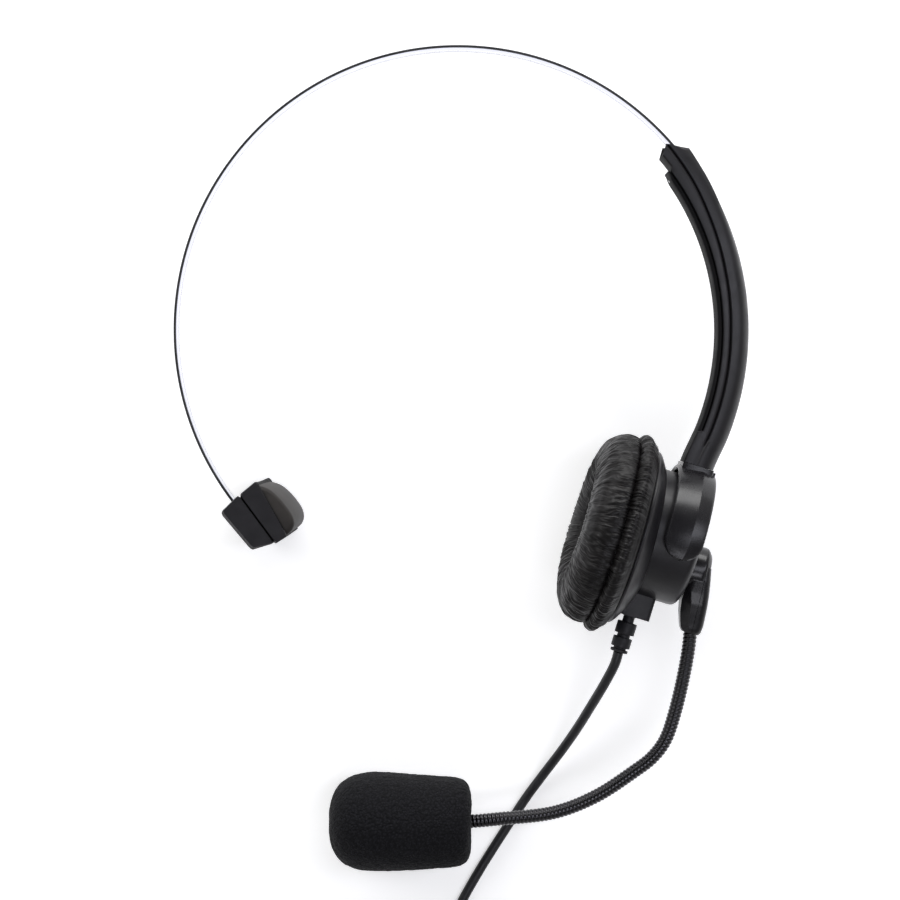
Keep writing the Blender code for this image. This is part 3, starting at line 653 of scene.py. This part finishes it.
def make_band(steel, painted_shade_edge, plastic, painted_shade, rubber):
    half = BAND_THICKNESS / 2
    outline = rounded_rect(
        BAND_RADIUS - half, BAND_RADIUS + half, -BAND_HALF_WIDTH, BAND_HALF_WIDTH, 0.18, 3
    )
    rings = [
        [polar(radius, angle, z) for radius, z in outline]
        for angle in spread(BAND_START, BAND_END, 320)
    ]
    strip = loft("headband_strip", rings, BAND)
    finish(strip, steel, "band", "polished_steel", "headband")
    # The strip's edges, facing up and down, take the darker steel: painted shade.
    shade_faces(strip, painted_shade_edge, lambda face: abs(face.normal.z) > 0.5)

    rings = bowed_rings(COVER_OUTLINE, COVER_CORNERS, MID_Z)
    cover = loft("rest_cover_shell", rings, REST, sharp=50.0)
    finish(cover, plastic, "band", "black_plastic", "rest_cover")
    # The cover's walls that face sideways or down take the shaded copy of the plastic: painted shade.
    shade_faces(cover, painted_shade, lambda face: face.normal.z < 0.4)
    rings = bowed_rings(CARRIER_OUTLINE, CARRIER_CORNERS, MID_Z - 0.15)
    carrier = loft("rest_carrier_shell", rings, REST, sharp=50.0)
    finish(carrier, plastic, "band", "black_plastic", "rest_carrier")
    # The carrier's walls that face sideways or down take the shaded copy of the plastic: painted shade.
    shade_faces(carrier, painted_shade, lambda face: face.normal.z < 0.4)
    for shell in (cover, carrier):
        for face in shell.data.polygons:
            face.use_smooth = abs(face.normal.z) < 0.98
    pad = loft("temple_pad_rubber", pad_rings(), REST, sharp=50.0)
    finish(pad, rubber, "band", "grey_rubber", "temple_pad")


def bowed_rings(outline, corners, half_length):
    """Sections of the T-bar, bowed round the head, with rounded ends. Each corner is (t, n, bow)."""
    rings = []
    for i in range(REST_PLACES):
        z = half_length * math.sin(math.pi / 2 * (2 * i / (REST_PLACES - 1) - 1))
        inset = 0.45 * max(0.0, abs(z) - half_length + 0.7) ** 2
        bent = [(t, n + bow * (z / half_length) ** 2) for t, n, bow in corners]
        ring = []
        for u, v in outline:
            low = [a + (b - a) * u for a, b in zip(bent[0], bent[1])]
            high = [a + (b - a) * u for a, b in zip(bent[3], bent[2])]
            t, n = (a + (b - a) * v for a, b in zip(low, high))
            ring.append((t + inset * (0.5 - u) * 2, n + inset * (0.5 - v) * 2, z))
        rings.append(ring)
    return rings


def pad_rings():
    """The rubber pad: a rounded section, a little lower and shorter at both ends of the T-bar."""
    outline = smooth_route([(t, n, 0) for t, n in PAD_OUTLINE], 0.5)[:, :2]
    base, middle = PAD_OUTLINE[0][1], (PAD_OUTLINE[0][0] + PAD_OUTLINE[-1][0]) / 2
    rings = []
    for i in range(REST_PLACES):
        z = PAD_HALF_LENGTH * math.sin(math.pi / 2 * (2 * i / (REST_PLACES - 1) - 1))
        edge = 1 - 0.16 * max(0.0, 1 - (PAD_HALF_LENGTH - abs(z)) / 1.3) ** 2.5
        height = (1 - PAD_FALL * (z / PAD_HALF_LENGTH) ** 2) * edge
        rings.append(
            [
                (middle + (t - middle) * edge, base + (n - base) * (height if n > base else 1.0), z)
                for t, n in outline
            ]
        )
    return rings


# Arm -----------------------------------------------------------------------------------------------

GROOVE = [(48.0, 76.1), (58.0, 75.7), (66.0, 75.1), (78.0, 74.6), (90.0, 74.4), (130.0, 74.4)]
# How much further on each radius starts, in degrees
MOUTH_SLANT = [(73.1, 1.3), (76.0, -0.2), (77.9, 1.75), (79.9, 3.5)]


def arm_outline(angle, inner, groove_depth):
    """Half of the arm's section, from inside over the top to its outer side, as (radius, z)."""
    line, outer, top = follow(GROOVE, angle), 79.95, ARM_HALF_WIDTH
    inner = min(inner, line - 1.2)
    return [
        (inner, 0.0), (inner, top - 1.4), (inner + 0.1, top - 0.5), (inner + 0.3, top - 0.06),
        (inner + 0.6, top), (line - 0.9, top - 0.14), (line - 0.4, top - 0.24),
        (line - 0.14, top - 0.3 - groove_depth * 0.4), (line, top - 0.3 - groove_depth),
        (line + 0.14, top - 0.2 - groove_depth * 0.4), (line + 0.45, top - 0.1), (line + 1.2, top - 0.16),
        (line + 2.3, top - 0.42), (line + 3.3, top - 0.95), (line + 4.1, top - 1.75),
        (outer - 0.75, top - 2.9), (outer - 0.3, top - 4.3), (outer, 0.0),
    ]


def whole_outline(half):
    """Mirrors a half section below the middle plane."""
    return half + [(radius, -z) for radius, z in reversed(half[1:-1])]


def arm_sections():
    """The arm's path as (origin, outward direction, key angle): an arc that straightens into the collar."""
    to_head = BAND.inverted() @ ARM
    end = (to_head @ metres((STEM_X + 0.35, JOINT_Y + 0.12, 0))) / MM
    down = (to_head.to_3x3() @ Vector((0, -1, 0))).normalized()
    out = (to_head.to_3x3() @ Vector((1, 0, 0))).normalized()
    sections = [(polar(ARM_MIDDLE, angle), polar(1.0, angle), angle) for angle in spread(48.4, ARM_BEND, 70)]
    kink, turn = polar(ARM_MIDDLE, ARM_BEND), polar(1.0, ARM_BEND)
    ahead = polar(1.0, ARM_BEND + 90)
    reach = (end - kink).length * 0.3
    for i in range(1, 17):
        t = i / 16
        a, b = kink + ahead * reach, end - (ahead * 0.5 + down * 0.5) * reach
        spot = kink * (1 - t) ** 3 + a * 3 * t * (1 - t) ** 2 + b * 3 * t * t * (1 - t) + end * t**3
        key = ARM_BEND + math.degrees((spot - kink).length / ARM_MIDDLE)
        sections.append((spot, turn.lerp(out, t).normalized(), key))
    return sections


def make_arm(plastic, painted_shade):
    """The arm's shell, with a mouth for the strip and a socket for the yoke's peg, and its inner cover."""
    rings = []
    for origin, outward, angle in arm_sections():
        below = float(ease(angle, 112.5, 112.8))
        inner = ARM_SEAM * (1 - below) + (ARM_INNER + 0.1) * below
        depth = 0.75 * (1 - float(ease(angle, 113.0, 116.0)))
        if angle < MOUTH_END:
            inner = MOUTH_INNER
        early = 1 - float(ease(angle, 48.0, 57.0))
        ring = []
        for radius, z in whole_outline(arm_outline(angle, inner, depth)):
            point = origin + outward * (radius - ARM_MIDDLE)
            lead = math.radians(follow(MOUTH_SLANT, radius)) * early
            ring.append(Matrix.Rotation(-lead, 3, "Z") @ point + Vector((0, 0, z)))
        rings.append(ring)
    shell = loft("arm_outer_shell", rings, BAND, sharp=50.0)
    slot = [
        [polar(radius, angle, z) for radius, z in rounded_rect(76.6, 78.0, -5.4, 5.4, 0.3, 2)]
        for angle in spread(45.0, 60.0, 12)
    ]
    bore = [(JOINT_Y - 1, 0), (JOINT_Y - 1, 2.75), (JOINT_Y + 7.9, 2.75), (JOINT_Y + 7.9, 0)]
    socket = turned("socket", bore, 40, ARM @ STEM_TO_Y)
    boolean(shell, "DIFFERENCE", [loft("mouth", slot, BAND), socket])
    shell.data.set_sharp_from_angle(angle=math.radians(50))
    finish(shell, plastic, "arm", "black_plastic", "arm_shell")
    # The shell's walls that face inwards take the shaded copy of the plastic: painted shade.
    shade_faces(shell, painted_shade, lambda face: face.normal.z < 0.6 and face.normal.x < -0.3)

    rings = []
    seam, inner, top = ARM_SEAM - 0.12, ARM_INNER, ARM_HALF_WIDTH
    for origin, outward, angle in arm_sections():
        if not COVER_START - 0.5 < angle < COVER_END:
            continue
        start = float(ease(angle, COVER_START - 0.5, COVER_START + 2.5))
        thin = inner + 0.75 * (1 - start)
        half = [
            (thin, 0.0), (thin + 0.01, top - 3.4), (thin + 0.08, top - 2.2), (thin + 0.18, top - 1.4),
            (thin + 0.3, top - 0.8), (seam - 0.28, top - 0.45), (seam - 0.12, top - 0.25),
            (seam - 0.04, top - 0.4), (seam, top - 0.8), (seam, 0.0),
        ]
        whole = whole_outline(half)
        rings.append([origin + outward * (radius - ARM_MIDDLE) + Vector((0, 0, z)) for radius, z in whole])
    cover = loft("arm_inner_cover", rings, BAND, sharp=50.0)
    # The whole inner cover takes the shaded copy of the plastic: painted shade.
    finish(cover, painted_shade, "arm", "black_plastic", "arm_cover")


# Yoke ----------------------------------------------------------------------------------------------


def yoke_section(half):
    """The fork's section as (along the cup's axis, radius), with a ridge round its outside."""
    edge = min(0.5, half * 0.4)
    return rounded_profile(
        [
            (-half + edge, YOKE_INNER), (-half, YOKE_INNER + 0.3), (-half, YOKE_OUTER - 1.1),
            (-half + edge, YOKE_OUTER - 0.65), (half * 0.25, YOKE_OUTER + 0.1),
            (half - edge, YOKE_OUTER - 0.75), (half, YOKE_OUTER - 1.15),
            (half, YOKE_INNER + 0.3 + YOKE_RELIEF), (half - edge, YOKE_INNER + YOKE_RELIEF),
            (half * 0.3, YOKE_INNER),
        ],
        [0, 0.2, 0.2, 0.3, 0.06, 0.3, 0.2, 0.2, 0.1, 0],
        2,
    )


def stem_box(name, low_x, high_x, half_z, high_y, radius, steps):
    """A rounded block that rises from inside the fork's wall."""
    outline = rounded_rect(low_x, high_x, -half_z, half_z, radius, steps)
    return loft(name, [[(x, y, z) for x, z in outline] for y in (STEM_FOOT, high_y)], CUP)


def make_yoke(plastic):
    """The fork round the drum, with the stem block, a lug beside it and the peg that the arm turns on."""
    rings = []
    for angle in spread(-YOKE_REACH, YOKE_REACH, 97):
        past = max(0.0, (abs(angle) - YOKE_STRAIGHT) / (YOKE_REACH - YOKE_STRAIGHT))
        half = YOKE_HALF_WIDTH * math.sqrt(max(0.0, 1 - past**2.2)) + 0.05
        turn = math.radians(angle)
        rings.append(
            [
                (YOKE_X + YOKE_SHIFT + dx, YOKE_Y + radius * math.cos(turn), radius * math.sin(turn))
                for dx, radius in yoke_section(half)
            ]
        )
    yoke = loft("yoke_bracket", rings, CUP, sharp=12.0)
    block = stem_box("stem_block", STEM_X - 4.4, STEM_X + 4.4, 6.6, JOINT_Y, 1.2, 4)
    lug = stem_box("lug", 17.9, 22.3, 5.6, JOINT_Y - 0.5, 0.5, 3)
    outline = [(STEM_FOOT, 0), (STEM_FOOT, 2.4), (31.0, 2.4), (31.0, 0)]
    peg = turned("stem_peg", outline, 32, CUP @ STEM_TO_Y)
    boolean(yoke, "UNION", [block, lug, peg])
    yoke.data.set_sharp_from_angle(angle=math.radians(12))
    finish(yoke, plastic, "yoke", "black_plastic", "yoke")


# Ear cup -------------------------------------------------------------------------------------------


def make_shell(plastic):
    """The cup's back: a bowl with the drum and the cord outlet on it, hollow under the baffle."""
    bowl = rounded_profile(
        [
            (5.75, 0), (5.75, 24.3), (6.4, 24.5), (7.2, 23.7), (9.4, 20.3), (11.2, 15.2), (12.4, 11.0),
            (12.4, 0),
        ],
        [0, 0.1, 0.3, 1.0, 2.0, 2.0, 0.5, 0],
    )
    shell = turned("cup_back_shell", bowl, 128, CUP)
    drum_profile = rounded_profile(
        [
            (8.2, 0), (8.2, HOUSING_RADIUS), (HOUSING_END - 1.1, HOUSING_RADIUS),
            (HOUSING_END, HOUSING_RADIUS - 2.4), (HOUSING_END, 0),
        ],
        [0, 0, 2.0, 2.0, 0],
        6,
    )
    drum = turned("drum", drum_profile, 128, CUP, (YOKE_Y, 0))
    outline = rounded_rect(8.3, 16.9, -4.4, 4.4, 1.0, 4)
    outlet = loft("outlet", [[(x, y, z) for x, z in outline] for y in (-20.9, -9.0)], CUP)
    inside = [(5.0, 0), (5.0, 22.4), (7.5, 22.4), (7.6, 20.3), (9.3, 17.4), (10.6, 13.0), (10.6, 0)]
    hollow = turned("hollow", inside, 96, CUP)
    gland = turned("gland", [(10, 0), (10, 1.6), (16.6, 1.6), (16.6, 2.3), (23, 2.3), (23, 0)], 32, OUTLET)
    boolean(shell, "UNION", [drum, outlet])
    boolean(shell, "DIFFERENCE", [hollow, gland])
    shell.data.set_sharp_from_angle(angle=math.radians(38))
    finish(soften(shell, 0.25), plastic, "ear_cup", "black_plastic", "cup_shell")


def make_relief(rubber):
    """The segmented strain relief: full blocks joined by a narrow core, ending in a thin flange."""
    profile = rounded_profile(
        [
            (17.0, 0), (17.0, 1.95), (21.2, 1.95), (21.2, 1.6), (22.9, 1.6), (22.9, 2.75), (26.2, 2.75),
            (26.2, 1.8), (27.2, 1.8), (27.2, 2.65), (30.0, 2.65), (30.0, 1.75), (30.6, 1.75), (30.6, 2.45),
            (-RELIEF_END, 2.4), (-RELIEF_END, 0),
        ],
        0.22,
        3,
    )
    relief = turned("strain_relief_boot", profile, 64, OUTLET)
    finish(relief, rubber, "ear_cup", "black_rubber", "strain_relief")


# The cushion's roll as (x, radius), with its seam at x = 0
CUSHION = [
    (-3.0, 11.1), (-6.2, 11.9), (-8.6, 14.4), (-9.6, 17.0), (-9.75, 18.1), (-9.45, 19.2), (-9.0, 21.2),
    (-7.7, 23.6), (-5.6, 25.4), (-3.2, 26.3), (-1.3, 26.35), (-0.35, 25.9), (0.0, 25.0), (0.4, 25.9),
    (1.2, 27.3), (2.2, 27.75), (3.4, 27.45), (4.6, 26.5), (5.5, 25.2), (5.65, 23.6), (5.45, 19.0),
    (5.4, 11.2), (1.5, 11.0),
]


def make_cushion(leather):
    """The gathered ring cushion. Folds run across the roll and crowd together at its seam and its hole."""
    profile = smooth_route([(x, radius, 0) for x, radius in CUSHION], 0.46, closed=True)[:, :2]
    around = 1280
    count = len(profile)
    x, radius = profile[:, 0][None, :], profile[:, 1][None, :]
    u = (np.arange(around) / around)[:, None] * np.ones((1, count))
    v = (np.arange(count) / count)[None, :] * np.ones((around, 1))
    ahead = np.roll(profile, -1, axis=0) - np.roll(profile, 1, axis=0)
    ahead /= np.linalg.norm(ahead, axis=1)[:, None]
    normal = np.stack([-ahead[:, 1], ahead[:, 0]], axis=1)
    if (normal[:, 1] * (profile[:, 1] - 18)).sum() < 0:
        normal = -normal
    front = np.exp(-(((x + 4.0) / 4.5) ** 2)) * (radius > 12)
    near_seam = np.exp(-((x / 1.5) ** 2)) * (radius > 22)
    near_hole = np.exp(-(((radius - 17.0) / 2.4) ** 2)) * (x < -6)
    rear = np.exp(-(((x - 2.2) / 1.6) ** 2)) * (radius > 22)
    bend = 0.004 * lattice_noise(u, v, 60, 18, 1) + 0.0016 * lattice_noise(u, v, 170, 30, 2)
    broad = np.abs(lattice_noise(u + bend, v, 118, 9, 3))
    fine = np.abs(lattice_noise(u + 1.3 * bend, v, 236, 13, 4))
    thin = np.abs(lattice_noise(u + 1.1 * bend, v, 400, 20, 5))
    gathers = np.abs(lattice_noise(u + 0.5 * bend, v, 250, 4, 6))
    swell = lattice_noise(u, v, 17, 5, 7)
    lift = (
        (0.42 * broad + 0.40 * fine + 0.16 * thin) * (0.35 + 0.65 * front)
        + 0.5 * gathers * near_seam
        + 0.4 * gathers * near_hole
        + (0.3 * fine + 0.24 * gathers + 0.12 * thin) * rear * (x < 3.6)
        + 0.18 * swell * (front + rear)
    )
    soft = ((radius > 13.0) & (x < 4.9)) * 1.0
    lift = (lift - 0.3) * soft
    ax = x + normal[None, :, 0] * lift
    ar = radius + normal[None, :, 1] * lift
    angle = TURN * u
    points = np.stack([ax, ar * np.cos(angle), ar * np.sin(angle)], axis=2)
    rings = [list(map(tuple, ring)) for ring in points]
    cushion = loft("ear_cushion_leather", rings, CUP, sharp=None, loop=True)
    finish(cushion, leather, "ear_cup", "leatherette", "ear_cushion")


def make_speaker_cloth(fabric):
    """The cloth behind the cushion's hole, pushed up a little by the foam under it."""
    edge, rise, steps = 10.6, 0.7, 12
    front = [(4.75 - rise * math.cos(math.pi / 2 * i / steps), edge * i / steps) for i in range(steps + 1)]
    cloth = turned("speaker_cloth_disc", [*front, (5.6, edge), (5.6, 0)], 72, CUP)
    finish(cloth, fabric, "ear_cup", "foam", "speaker_cloth")


# Boom ----------------------------------------------------------------------------------------------

# The lever's outline down its length: (y, nearest x, farthest x, half width)
BOOM_ROWS = (
    (-2.0, 24.0, 29.0, 5.9), (-6.0, 23.8, 29.9, 6.1), (-9.5, 23.7, 30.6, 5.9), (-12.5, 23.8, 31.1, 5.4),
    (-15.5, 24.4, 31.5, 4.6), (-18.0, 25.2, 31.8, 3.9), (-20.0, 26.0, 31.7, 3.4), (-20.7, 26.6, 31.2, 2.8),
)
BOOM_SPLIT, BOOM_LEAN = 27.6, 5.0


def boom_half(name, side):
    """One of the boom's two shells, cut from the whole lever along its leaning parting plane."""
    steps = spread(BOOM_ROWS[0][0], BOOM_ROWS[-1][0], 40)
    rings = []
    for y in steps:
        low, high, half = (follow([(row[0], row[k]) for row in reversed(BOOM_ROWS)], y) for k in (1, 2, 3))
        outline = rounded_rect(low, high, -half, half, min(1.9, half * 0.55), 6)
        rings.append([(x, y, z) for x, z in outline])
    lever = loft(name, rings, CUP)
    cap = rounded_profile(
        [
            (HUB_START, 0), (HUB_START, HUB_RADIUS), (HUB_END - 1.5, HUB_RADIUS),
            (HUB_END, HUB_RADIUS - 2.0), (HUB_END, 0),
        ],
        [0, 0.2, 0.8, 0.8, 0],
    )
    hub = turned("hub", cap, 72, CUP, (HUB_Y, 0))
    lean = Matrix.Rotation(math.radians(BOOM_LEAN), 4, "Z")
    split = CUP @ Matrix.Translation(metres((BOOM_SPLIT, HUB_Y, 0))) @ lean
    low, high = (-0.06, 30) if side < 0 else (-30, 0.06)
    away = piece("away", *slab((low, -40, -20), (high, 20, 20)), split)
    boolean(lever, "UNION", [hub])
    boolean(lever, "DIFFERENCE", [away, facet_cutter(1), facet_cutter(-1)])
    lever.data.set_sharp_from_angle(angle=math.radians(35))
    return soften(lever, 0.12, 50.0)


def facet_cutter(side):
    """Takes a slanting facet off the lever's head side, along a line that crosses it from hub to tip."""
    start, tip = Vector((23.5, -5.5, 6.1)), Vector((27.7, -18.5, 3.9))
    line = (tip - start).normalized()
    fall = Vector((-1.0, -0.3, -1.1))
    up = line.cross(fall).normalized()
    if up.z < 0:
        up = -up
    fall = up.cross(line)
    box, faces = slab((-30, -30, 0), (40, 30, 20))
    corners = [start + line * a + fall * b + up * c for a, b, c in box]
    return piece("facet", [(x, y, z * side) for x, y, z in corners], faces, CUP)


def make_boom(plastic):
    finish(boom_half("boom_inner_half", -1), plastic, "boom", "black_plastic", "boom_inner_shell")
    finish(boom_half("boom_outer_half", 1), plastic, "boom", "black_plastic", "boom_outer_shell")


def neck_route():
    start = (CUP @ metres(NECK_START)) / MM
    return smooth_route([start, *NECK_ROUTE], NECK_STEP)


def make_neck(metal):
    """The gooseneck: one wire wound in a tight helix round the route."""
    route = neck_route()
    sides, ups = frames_along(route)
    around = 28
    angle = np.arange(around) / around * TURN
    along = np.concatenate([[0], np.cumsum(np.linalg.norm(np.diff(route, axis=0), axis=1))])
    phase = along[:, None] / NECK_PITCH - angle[None, :] / TURN
    radius = NECK_RADIUS - NECK_GROOVE * (1 - np.abs(np.sin(math.pi * phase)) ** 0.8)
    points = (
        route[:, None, :]
        + (radius * np.cos(angle))[:, :, None] * sides[:, None, :]
        + (radius * np.sin(angle))[:, :, None] * ups[:, None, :]
    )
    neck = loft("gooseneck_hose", [list(map(tuple, ring)) for ring in points], WORLD, sharp=None)
    finish(neck, metal, None, "black_chrome", "gooseneck_upper", "gooseneck_lower")
    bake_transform(neck)


# The foam's outline as (x, radius), from its mouth to its tip
FOAM = [
    (-19.5, 2.6), (-19.9, 5.0), (-19.6, 8.8), (-18.4, 11.2), (-16.0, 12.3), (-11.0, 12.8), (-4.0, 13.3),
    (3.0, 13.7), (9.0, 13.7), (13.6, 12.7), (16.9, 10.6), (18.9, 7.4), (19.7, 3.6), (19.9, 0.0),
]


def make_windscreen(foam):
    """The foam ball, its skin broken up by open cells."""
    place = Matrix.Translation(metres(FOAM_CENTRE)) @ Matrix.Rotation(math.pi, 4, "Z")
    outer = smooth_route([(x, radius, 0) for x, radius in FOAM], 0.3)[:, :2]
    count, around = len(outer), 300
    ahead = np.gradient(outer, axis=0)
    ahead /= np.linalg.norm(ahead, axis=1)[:, None]
    normal = np.stack([-ahead[:, 1], ahead[:, 0]], axis=1)
    u = (np.arange(around) / around)[:, None] * np.ones((1, count))
    v = (np.arange(count) / count)[None, :] * np.ones((around, 1))
    lift = (
        0.16 * lattice_noise(u, v, 9, 5, 11)
        + 0.09 * lattice_noise(u, v, 90, 46, 12)
        + 0.10 * np.abs(lattice_noise(u, v, 150, 80, 13))
    )
    fade = ease(outer[:, 1], 0.0, 5.0)[None, :]
    x = outer[None, :, 0] + normal[None, :, 0] * lift * fade
    radius = np.maximum(0.0, outer[None, :, 1] + normal[None, :, 1] * lift * fade)
    radius[:, -1] = 0.0
    x[:, -1] = outer[-1, 0]
    inner = np.array([(0.5, 0.0), (0.5, 4.4), (-13.0, 4.4), (-15.0, 2.6)])
    rings = []
    for i in range(around):
        c, s = math.cos(TURN * i / around), math.sin(TURN * i / around)
        line = [*inner, *zip(x[i], radius[i])]
        rings.append([(a, r * c, r * s) for a, r in line])
    verts = [point for ring in rings for point in ring]
    faces = quads(around, len(rings[0]), close_rings=False)
    ball = piece("foam_windscreen", verts, faces, place, sharp=None)
    finish(ball, foam, "microphone", "foam", "windscreen")


# Cord ----------------------------------------------------------------------------------------------

TURNS_A_LAYER = 3
COIL_ENTRY, COIL_TURNS = 150.0, 11.0 + 100.0 / 360.0  # the angle in degrees, and the turns
CROSSING = 0.16  # the share of a turn in which the cord steps over to the next one


def coil_points():
    """The wound turns: layer on layer, each one a diameter from the last."""
    step = CORD_DIAMETER + 0.03
    points = []
    steps = round(COIL_TURNS * 24)
    for i in range(steps + 1):
        turn = COIL_TURNS * i / steps
        whole = math.floor(turn)
        shift = float(ease(turn - whole, 1 - CROSSING, 1.0))
        lane = whole % (2 * TURNS_A_LAYER)
        after = (whole + 1) % (2 * TURNS_A_LAYER)
        lanes = [lane_of(k) for k in (lane, after)]
        radius = COIL_RADIUS + step * (lanes[0] * (1 - shift) + lanes[1] * shift)
        level = whole // TURNS_A_LAYER * (1 - shift) + (whole + 1) // TURNS_A_LAYER * shift
        angle = math.radians(COIL_ENTRY) + TURN * turn
        z = COIL_BOTTOM + CORD_DIAMETER / 2 + step * level
        points.append(COIL_CENTRE + Vector((radius * math.cos(angle), radius * math.sin(angle), z)))
    return points


def lane_of(place):
    """Inwards on one layer, outwards on the next: 1, 0, -1, -1, 0, 1."""
    return 1 - place if place < TURNS_A_LAYER else place - TURNS_A_LAYER - 1


def make_cord(jacket):
    """The whole cord: out of the relief, across the table, round the coil and on to the plug."""
    start = (CUP @ metres((OUTLET_X, RELIEF_END - 0.1, 0))) / MM
    coil = coil_points()
    route = smooth_route([start, *CORD_ROUTE, *coil, *TAIL_ROUTE], 1.0)
    data = bpy.data.curves.new("headset_cord", "CURVE")
    data.dimensions = "3D"
    data.bevel_depth = CORD_DIAMETER / 2 * MM
    data.bevel_resolution = 4
    data.use_fill_caps = True
    spline = data.splines.new("POLY")
    spline.points.add(len(route) - 1)
    for place, point in zip(spline.points, route):
        place.co = (*metres(point), 1.0)
    cord = bpy.data.objects.new("headset_cord", data)
    bpy.context.scene.collection.objects.link(cord)
    finish(cord, jacket, "ear_cup", "cord_jacket", "cord", "cord_coil", "cord_tail")
    nodes = frame["nodes"]
    plug = [nodes[name] for name in ("plug_body", "plug_latch", "cord_tie")]
    plug += [nodes[f"plug_contact_{i + 1}"] for i in range(4)]


# Scene ---------------------------------------------------------------------------------------------


def dress_cad(looks):
    """Materials for the CAD pieces that stay as they are."""
    kept = {
        "plastic": ("cup_baffle", "band_stop", "mic_housing"),
        "film": ("speaker_diaphragm",),
        "rubber": ("boom_washer", "cord_tie"),
        "gold": ("mic_capsule", *(f"plug_contact_{i + 1}" for i in range(4))),
        "clear": ("plug_body", "plug_latch"),
        "steel": (
            "speaker_frame", "speaker_magnet", "stem_clip", "pivot_pin_upper", "pivot_pin_lower",
            "arm_screw_upper", "arm_screw_lower", "friction_spring", "boom_screw",
        ),
    }
    for look, names in kept.items():
        for name in names:
            materials = frame["nodes"][name].data.materials
            materials.clear()
            materials.append(looks[look])


def main():
    make_camera()
    looks = {
        "plastic": moulded_plastic(), "gloss": gloss_plastic(), "shade": painted_shade_plastic(),
        "polished": polished_steel(), "edge": painted_shade_edge(),
        "steel": plain_steel(), "chrome": black_chrome(), "leather": leatherette(),
        "foam": windscreen_foam(), "fabric": speaker_fabric(), "pad": grey_rubber(),
        "rubber": black_rubber(), "jacket": cord_jacket(), "gold": gold(),
        "clear": clear_plastic(), "film": speaker_film(),
    }
    make_cord(looks["jacket"])
    make_studio()
    make_band(looks["polished"], looks["edge"], looks["plastic"], looks["shade"], looks["pad"])
    make_arm(looks["plastic"], looks["shade"])
    make_yoke(looks["gloss"])
    make_shell(looks["plastic"])
    make_relief(looks["rubber"])
    make_cushion(looks["leather"])
    make_speaker_cloth(looks["fabric"])
    make_boom(looks["gloss"])
    make_neck(looks["chrome"])
    make_windscreen(looks["foam"])
    dress_cad(looks)


main()
